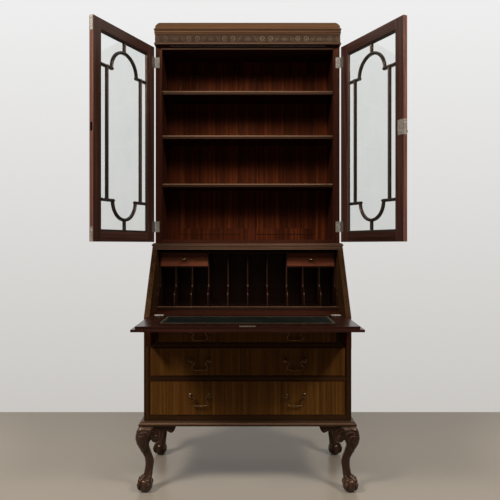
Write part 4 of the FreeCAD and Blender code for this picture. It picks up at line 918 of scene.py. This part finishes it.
# Rows of place beside the scroll, height over its middle, and half width
SCROLL_STEM = mm((-8.5, -12.5, 2.6), (10, -17.5, 2.2), (27, -12, 2.4), (36, 4, 2.8), (45, 13, 1.2))
SCROLL_LEAVES = (
    mm((22, -12, 1.6), (25, 2.7, 2.6), (28, 9, 1)),
    mm((28, -12, 1.6), (34, -3.9, 2.6), (40, -13, 1)),
)
# Lower edge, width and rise
FILLETS = (
    (BAND_HIGH, 0.0045, 0.0018), (BAND_HIGH + 0.006, 0.0105, 0.0032), (BAND_LOW - 0.003, 0.003, 0.0016)
)
relief = {}


def stroke(points, lift):
    """Raise the ground under a line of (x, z, half width) points."""
    for (x0, z0, r0), (x1, z1, r1) in zip(points, points[1:]):
        steps = max(1, int(hypot(x1 - x0, z1 - z0) / (STEP * 0.6)))
        for step in range(steps):
            t = step / steps
            x, z, r = x0 + (x1 - x0) * t, z0 + (z1 - z0) * t, r0 + (r1 - r0) * t
            for i in range(int((x - r) / STEP) - 1, int((x + r) / STEP) + 2):
                for k in range(int((z - r - BAND_LOW) / STEP) - 1, int((z + r - BAND_LOW) / STEP) + 2):
                    gap = hypot(i * STEP - x, BAND_LOW + k * STEP - z)
                    if gap < r:
                        relief[i, k] = max(relief.get((i, k), 0), lift * sqrt(r * r - gap * gap))


def scroll_of(x, hand, lift):
    """One volute of a pair, with the stem that runs on from it and two leaves on that."""
    z = BAND_MIDDLE - SCROLL_DOWN
    turning = []
    for t in [step / 40 for step in range(41)]:
        angle = radians(SCROLL_START) + 2 * pi * SCROLL_TURNS * t
        reach = SCROLL_REACH * (1 - 0.76 * t ** 0.85)
        half = SCROLL_HALF - SCROLL_TAPER * t
        turning.append((x + hand * reach * cos(angle), z + reach * sin(angle), half))
    stroke(turning, lift)
    eye_x, eye_z, _ = turning[-1]
    stroke([(eye_x, eye_z, SCROLL_EYE), (eye_x + EYE_LONG, eye_z, SCROLL_EYE)], lift)
    for rows, share in ((SCROLL_STEM, 0.3), *((leaf, 0.25) for leaf in SCROLL_LEAVES)):
        stroke(spline([(x + hand * aside, z + above, half) for aside, above, half in rows], 6), share * lift)


def leaf_of(x, size):
    """A leaf that fans out from its foot."""
    foot_z = BAND_MIDDLE - LEAF_FOOT * size
    for turn, long in ((-72, 0.7), (-42, 0.86), (-16, 1), (16, 1), (42, 0.86), (72, 0.7)):
        angle = radians(turn)
        lobe = []
        for t in (0.1, 0.3, 0.5, 0.7, 0.85, 0.97):
            reach = LEAF_REACH * size * long
            half = LEAF_THIN + LEAF_THICK * sin(pi * min(1, t * 1.02)) ** 0.8 * size
            lobe.append((x + reach * t * sin(angle), foot_z + reach * t * cos(angle), half))
        stroke(lobe, 0.2)


for centre, lift in ((0.09, 0.95), (0.26, 0.95), (0.412, 0.4)):
    for side in (-1, 1):
        for hand in (-1, 1):
            scroll_of(side * centre + hand * SCROLL_APART, hand, lift)
for centre, size in ((0, 1), (0.175, 0.9), (-0.175, 0.9), (0.342, 0.9), (-0.342, 0.9)):
    leaf_of(centre, size)
frieze_end = corners("frieze")[1].x
frieze_face = corners("bookcase_case")[0].y - FRIEZE_OUT
half_count = int((frieze_end - FRIEZE_MARGIN) / STEP)
rows = int((BAND_HIGH - BAND_LOW) / STEP) + 1
verts = []
faces = []
painted_light = []
for k in range(rows + 1):
    for i in range(-half_count, half_count + 1):
        edge = k in (0, rows) or abs(i) == half_count
        rise = relief.get((i, k), 0)
        # Painted shade: the ground between the carving darkens; the carving is full colour from FULL_RELIEF
        # up
        painted_light.append(min(1, rise / FULL_RELIEF))
        verts.append((i * STEP, frieze_face - (0 if edge else GROUND + rise), BAND_LOW + k * STEP))
width = 2 * half_count + 1
for k in range(rows):
    for start in range(k * width, k * width + width - 1):
        faces.append((start, start + 1, start + width + 1, start + width))
piece("frieze_scrolls", [(verts, faces, RIGHT, painted_light)], CARVED_WOOD, smooth=70)
parts = []
x = frieze_end - FILLET_MARGIN
for low_z, width, rise in FILLETS:
    z = low_z + width / 2
    parts.append(bead((-x, frieze_face, z), (x, frieze_face, z), width, rise))
piece("frieze_fillets", parts, CROWN_WOOD, smooth=50)

# The base moulding: a lip with a painted highlight on its upper edge, under a hollow in painted shade

BASE_REACH, LIP, LIP_EDGE, LIP_DROP = 0.02, 0.0052, 0.009, 0.004
HOLLOW_WIDE, HOLLOW_HIGH, FILLET = 0.0155, 0.006, 0.0004


def run_round(low, high, profile, inset=0):
    """A profile carried along a case's left side, front and right side."""
    side, front = high.x - inset, low.y + inset
    path = [(-side, high.y, 0), (-side, front, 0), (side, front, 0), (side, high.y, 0)]
    return strip(path, profile[::-1], UP)


low, high = corners("base_moulding")
foot_z, lip, edge = low.z - LIP_DROP, low.z + LIP, low.z + LIP_EDGE
# Rows of place in from the front, height, and share of painted light: a painted highlight on the lip's upper
# edge, painted shade on the foot, the lip's face and in the hollow
profile = [
    (2 * BASE_REACH, foot_z, 0), (0.0008, foot_z, 0), (0, foot_z + 0.0008, 0),
    (0, lip - 0.0012, 0.05), (0.0004, lip, 0.9),
    (0.0022, edge - 0.0008, 1), (0.0036, edge, 0.9), (0.0042, edge + 0.0002, 0.1),
]
for turn in [pi / 2 * k / 6 for k in range(7)]:
    height = edge + FILLET + HOLLOW_HIGH * sin(turn)
    profile.append((BASE_REACH - HOLLOW_WIDE * cos(turn), height, 0.15))
profile.append((2 * BASE_REACH, edge + FILLET + HOLLOW_HIGH, 0.15))
verts, faces = run_round(low, high, [row[:2] for row in profile])
painted_light = [row[2] for row in profile[::-1]] * 4
piece("base_run", [(verts, faces, None, painted_light)], BASE_WOOD, node="base_moulding", smooth=25)

# The cornice: a round nose, a flat and a splay that falls back to the lid

NOSE, CORNICE_FALL, SPLAY, FLAT_INSET, FLAT_ROUND = 0.01, 0.018, 0.022, 0.00125, 0.0008
low, high = corners("cornice")
flat = high.z - SPLAY
profile = [(2 * CORNICE_FALL, low.z), (0, low.z)]
for turn in [pi * k / 8 for k in range(1, 8)]:
    profile.append((-NOSE / 2 * sin(turn), low.z + NOSE / 2 - NOSE / 2 * cos(turn)))
profile += [(FLAT_INSET, low.z + NOSE), (FLAT_INSET, flat), (2 * FLAT_ROUND, flat + FLAT_ROUND)]
profile += [(CORNICE_FALL * 0.52, flat + SPLAY * 0.6), (CORNICE_FALL, high.z), (2 * CORNICE_FALL, high.z)]
lid = min(cad_parts("cornice"), key=lambda part: len(part[0]))
parts = [run_round(low, high, profile, NOSE / 2), (*lid, RIGHT)]
piece("cornice_run", parts, CROWN_WOOD, node="cornice", smooth=25, bevel=LID_EDGE)

# Doors: bars on both faces of the glass, beads mitred round the panes, screw heads, and the key

BAR_WIDTH, BAR_RECESS, PANE_BEAD, BEAD_FLAT_SHARE = 0.0135, 0.0015, 0.009, 0.25
DOOR_WIDTH, STILE, TOP_RAIL, BOTTOM_RAIL, DOOR_GAP = 0.4415, 0.05, 0.045, 0.044, 0.003
DOOR_FACE, GLASS_FRONT, GLASS_BACK, BEAD_BACK, DOOR_BACK = -0.0215, -0.0155, -0.0125, -0.0055, -0.0015
BAR_INSET, HIGH_CROOK, LOW_CROOK, HIGH_SPRING, LOW_SPRING = 0.04975, 0.031, 0.039, 0.185, 0.179
BUTT_THICK, BUTT_HEIGHT, LOW_BUTT, HIGH_BUTT = 0.0012, 0.051, 0.0475, 0.0985
# Place up the butt as a share of its height, and distance from the pin
SCREW_SHARES = ((0.14, 0.0165), (0.38, 0.0105), (0.62, 0.0165), (0.86, 0.0105))
SCREW = mm((2.2, -0.4), (2.2, 0.04), (1.5, 0.1), (0.3, 0.1))
KEY_INSET, KEY_PLACE, KEY_OUT, BOW_WIDE, BOW_HIGH, BOW_WIRE = 0.019, 0.46, 0.008, 0.0052, 0.0055, 0.0016
KEY_TIP = mm((0.4, -2.1), (1.7, -2.1), (2.4, -3))
KEY_SHANK = mm((2.4, 6), (3.3, 5.2), (2.4, 4.4), (2.4, 3), (3.4, 1.8), (2.6, 0.6), (2.2, -1), (0.4, -1.2))
half_pane = DOOR_WIDTH / 2 - STILE


def astragal(rise):
    """A bar's profile: flat sides and a round crown between small steps."""
    half = BAR_WIDTH / 2
    points = [(-half, 0), (-half, rise * 0.5), (-half * 0.72, rise * 0.56)]
    for angle in [pi * (1 - step / 6) for step in range(7)]:
        points.append((half * 0.66 * cos(angle), rise * (0.56 + 0.44 * sin(angle))))
    return points + [(half * 0.72, rise * 0.56), (half, rise * 0.5), (half, 0)]


def bar_lines(low, high, margin):
    """Centre lines, from a door's middle, of its uprights, crooks, stems and two arches."""
    place = half_pane - BAR_INSET
    high_z, low_z = high.z - HIGH_SPRING, low.z + LOW_SPRING
    arches = (
        (place - HIGH_CROOK, high_z, 1, high.z - TOP_RAIL - margin),
        (place - LOW_CROOK, low_z, -1, low.z + BOTTOM_RAIL + margin),
    )
    lines = []
    for way in (-1, 1):
        lines.append([(way * place, low_z - BAR_WIDTH / 2), (way * place, high_z + BAR_WIDTH / 2)])
        for arch, spring, _, _ in arches:
            lines.append([(way * (arch - BAR_WIDTH / 2), spring), (way * (half_pane - margin), spring)])
    for arch, spring, up, rail in arches:
        lines.append([(0, spring + up * arch), (0, rail)])
    for arch, spring, up, _ in arches:
        turns = [pi * k / 32 for k in range(33)]
        lines.append([(arch * cos(turn), spring + up * arch * sin(turn)) for turn in turns])
    return lines


def pane_beads(middle, low, high):
    """Round-backed beads that hold the glass, mitred at the corners."""
    depth = BEAD_BACK - GLASS_BACK
    flat, curve = BEAD_FLAT_SHARE, 1 - BEAD_FLAT_SHARE
    quarter = [(0, 0), (0, depth)]
    for turn in [pi / 2 * k / 5 for k in range(6)]:
        quarter.append((PANE_BEAD * (flat + curve * sin(turn)), depth * (flat + curve * cos(turn))))
    quarter.append((PANE_BEAD, 0))
    edges = edges_of(middle - half_pane, low.z + BOTTOM_RAIL, middle + half_pane, high.z - TOP_RAIL)
    parts = []
    for (x0, z0), (x1, z1) in edges:
        dx, dz = (x1 > x0) - (x1 < x0), (z1 > z0) - (z1 < z0)
        rings = []
        for x, z, way in ((x0, z0, 1), (x1, z1, -1)):
            right, up = way * dx - dz, way * dz + dx
            rings.append([(x + right * aside, GLASS_BACK + rise, z + up * aside) for aside, rise in quarter])
        parts.append(skin(rings))
    return parts


def key_parts(x, z):
    """The key's shank with its collars, and its bow."""
    end = DOOR_FACE - KEY_OUT
    profile = KEY_TIP + [(radius, end + along) for radius, along in KEY_SHANK]
    bow = [(x, end - BOW_WIDE + out, z + up) for out, up in oval(BOW_WIDE, BOW_HIGH, 28)]
    return [lathe((x, 0, z), BACK, profile, 20), strip(bow, oval(BOW_WIRE, BOW_WIRE, 10), RIGHT, True)]


def opened(parts, turned):
    """Parts of a shut door where they stand with it open."""
    return [([turned @ Vector(corner) for corner in verts], faces) for verts, faces in parts]


for side, hand, turn in (("left", 1, -115), ("right", -1, 116)):
    pivot = pivot_of(f"door_{side}_hinge")
    turned = Matrix.Translation(Vector((pivot.x, pivot.y, 0))) @ Matrix.Rotation(radians(turn), 4, "Z")
    low, high = corners(f"door_{side}_frame")
    middle = hand * (DOOR_GAP + DOOR_WIDTH / 2)
    parts = []
    for base, rise, out, margin in (
        (GLASS_FRONT, GLASS_FRONT - DOOR_FACE, -1, 0),
        (GLASS_BACK, DOOR_BACK - BAR_RECESS - GLASS_BACK, 1, PANE_BEAD),
    ):
        for route in bar_lines(low, high, margin):
            parts.append(strip([(middle + x, base, z) for x, z in route], astragal(rise), (0, out, 0)))
    parts += pane_beads(middle, low, high)
    body = f"door_{side}"
    piece(f"{body}_astragals", opened(parts, turned), BAR_WOOD, node=f"{body}_bars", smooth=40)
    screws = []
    case_screws = []
    for butt in (low.z + LOW_BUTT, high.z - HIGH_BUTT):
        for share, aside in SCREW_SHARES:
            place, z = hand * aside, butt + BUTT_HEIGHT * share
            screws.append(lathe((place, DOOR_BACK + BUTT_THICK, z), BACK, SCREW, 14))
            place = Vector((pivot.x + place, pivot.y - DOOR_BACK - BUTT_THICK, z))
            case_screws.append(lathe(place, FORWARD, SCREW, 14))
    butt_slot = SLOT_OF["door_left_butts"]
    piece(f"{body}_butt_screws", opened(screws, turned), BRIGHT, body, slot=butt_slot, smooth=50)
    piece(f"case_{side}_butt_screws", case_screws, BRIGHT, slot=butt_slot, smooth=50)
    if side == "right":
        key = key_parts(hand * (DOOR_GAP + DOOR_WIDTH - KEY_INSET), low.z + KEY_PLACE)
        node = "door_right_key"
        piece(f"{node}_turned", opened(key, turned), BRIGHT, node=node, smooth=50)

# Keyholes of the drawers and beads round their fronts

KEYHOLE, KEYHOLE_DROP, KEYHOLE_OUT, COCK_BEAD, COCK_RISE = 0.0026, 0.024, 0.0003, 0.0032, 0.0011
# Rings of the keyhole's rim: size against the hole, and lift
RIM_SHARES = ((1.45, 0.0), (1.4, 0.6), (1.05, 0.6), (1.0, -0.4))


def keyhole(centre, size):
    """A thin rim round a keyhole, and a flat sheet of painted shade for the inside of the hole."""
    turns = [radians(-60 + 300 * number / 18) for number in range(19)]
    outline = [(cos(turn), sin(turn)) for turn in turns] + [(-0.62, -2.6), (0.62, -2.6)]

    def ring(scale, lift):
        out = centre + Vector(FORWARD) * lift
        return [out + Vector((x * size * scale, 0, (y + 0.6) * size * scale)) for x, y in outline]

    rim = skin([ring(scale, lift * size * 0.4) for scale, lift in RIM_SHARES], False)
    return rim, (ring(1, 0.02 * size), [tuple(range(len(outline)))])


for level in LEVELS:
    low, high = corners(f"drawer_{level}_front")
    drawer = f"drawer_{level}"
    centre = Vector(((low.x + high.x) / 2, low.y - KEYHOLE_OUT, high.z - KEYHOLE_DROP))
    rim, hole = keyhole(centre, KEYHOLE)
    piece(f"{drawer}_keyhole_rim", [rim], DARK_BRASS, drawer, slot="brass", smooth=50)
    piece(f"{drawer}_keyhole", [hole], SHADOW, drawer)
    parts = bead_frame(f"{drawer}_front", COCK_BEAD / 2, COCK_BEAD, COCK_RISE)
    piece(f"{drawer}_beads", parts, MAHOGANY, drawer, smooth=50)

# Beads down the front edges of the bureau's sides, and on the loper fronts

SIDE_BEAD, SIDE_RISE, SILL_GAP, LOPER_BEAD, LOPER_RISE = 0.004, 0.0016, 0.004, 0.003, 0.0012
base = corners("base_moulding")[1].z
sill = corners("writing_bed")[0].z - SILL_GAP
for side in HANDS:
    low, high = corners(f"bureau_side_{side}")
    parts = []
    for share in (0.22, 0.78):
        x = low.x + (high.x - low.x) * share
        parts.append(bead((x, low.y, base), (x, low.y, sill), SIDE_BEAD, SIDE_RISE))
    piece(f"bureau_side_{side}_beads", parts, SIDE_WOOD, smooth=50)
    parts = bead_frame(f"loper_{side}", LOPER_BEAD, LOPER_BEAD, LOPER_RISE)
    piece(f"loper_{side}_beads", parts, MAHOGANY, f"loper_{side}", smooth=50)

# The tooled border of the leather: two lines, with their inset and width

TOOLING, TOOLING_RISE = ((0.007, 0.0022), (0.0125, 0.0009)), 0.00012
low, high = corners("fall_leather")
parts = []
for inset, width in TOOLING:
    half = width / 2
    profile = [(-half, 0), (-half, TOOLING_RISE), (half, TOOLING_RISE), (half, 0)]
    edges = edges_of(low.x + inset, low.y + inset, high.x - inset, high.y - inset)
    for ends in edges:
        parts.append(strip([(x, y, high.z) for x, y in ends], profile, UP))
piece("leather_tooling", parts, GOLD, "fall", slot="leather")

# Floor and wall

WALL_PLACE, ROOM_HALF, ROOM_FRONT, WALL_HEIGHT, GLOW_HEIGHT = 1.13, 9, -6, 6, 2.6


def stage_material(name, colour, shown, rough):
    """A plain matt surface; where shown is given, camera, glossy and transmission rays see it glow, painted
    darker towards its foot.
    """
    made = Nodes(name)
    place = made.add("TexCoord").outputs["Object"]
    lighter = (*(min(1, value * 1.04) for value in colour[:3]), 1)
    mottle = made.noise(place, MOTTLE, 3, 0.5)
    made.set(Base_Color=made.ramp(mottle, (0.3, colour), (0.7, lighter)), Roughness=rough)
    if shown:
        rays = made.add("LightPath")
        seen = made.maths("MAXIMUM", rays.outputs["Is Camera Ray"], rays.outputs["Is Glossy Ray"])
        seen = made.maths("MAXIMUM", seen, rays.outputs["Is Transmission Ray"])
        height = made.spread(made.add("SeparateXYZ", Vector=place).outputs["Z"], 0, 1, 0, GLOW_HEIGHT)
        glow = made.add("Emission", Color=made.ramp(height, (0.0, shown[0]), (1.0, shown[1])))
        choice = made.add("MixShader")
        for socket, value in zip(choice.inputs, (seen, made.shader.outputs[0], glow.outputs[0])):
            made.put(socket, value)
        out = [node for node in made.tree.nodes if node.type == "OUTPUT_MATERIAL"][0]
        made.put(out.inputs["Surface"], choice.outputs[0])
    return made.material


def stage_plane(name, ends, material):
    """A plane of the room between two far ends, given as (y, z)."""
    (y0, z0), (y1, z1) = ends
    mesh = bpy.data.meshes.new(name)
    points = [(-ROOM_HALF, y0, z0), (ROOM_HALF, y0, z0), (ROOM_HALF, y1, z1), (-ROOM_HALF, y1, z1)]
    mesh.from_pydata(points, [], [(0, 1, 2, 3)])
    mesh.materials.append(material)
    link(name, mesh)


floor = stage_material("floor_pale", rgb(122, 113, 101), None, 0.3)
# Painted shade: the wall glows from (202,199,195) at its foot to (238,238,238) higher up
wall = stage_material("wall_pale", rgb(210, 207, 202), (rgb(202, 199, 195), rgb(238, 238, 238)), 0.9)
stage_plane("floor", ((ROOM_FRONT, 0), (ROOM_HALF, 0)), floor)
stage_plane("wall", ((WALL_PLACE, 0), (WALL_PLACE, WALL_HEIGHT)), wall)

# Light and camera

world = bpy.data.worlds.new("studio")
world.use_nodes = True
sky = world.node_tree.nodes["Background"].inputs
sky["Color"].default_value = (1.0, 0.97, 0.94, 1)
sky["Strength"].default_value = 0.12
bpy.context.scene.world = world


def lamp(name, place, target, width, height, power, colour):
    """A lamp of a width and height at a place, turned to a target."""
    light = bpy.data.lights.new(name, "AREA")
    light.shape = "RECTANGLE"
    light.size = width
    light.size_y = height
    light.energy = power
    light.color = colour
    made = link(name, light)
    made.location = place
    made.rotation_euler = (Vector(target) - Vector(place)).to_track_quat("-Z", "Y").to_euler()


lamp("front", (0, -3.9, 4.4), (0, 0, 1.0), 3.2, 2.4, 122, (1, 0.98, 0.95))
lamp("left", (-2.4, -2.3, 3.5), (0, 0, 0.7), 0.9, 0.9, 210, (1, 0.97, 0.93))
lamp("right", (2.4, -2.3, 3.5), (0, 0, 0.7), 0.9, 0.9, 160, (1, 0.97, 0.93))

camera = link("camera", bpy.data.cameras.new("camera"))
camera.data.lens = 41.54
camera.data.sensor_width = 36
camera.data.shift_x = 0.0048
camera.data.shift_y = -0.011
camera.data.clip_end = 60
camera.location = (0.0, -2.599, 1.083)
camera.rotation_euler = (pi / 2, 0, 0)
bpy.context.scene.camera = camera
bpy.context.scene.view_settings.view_transform = "Standard"
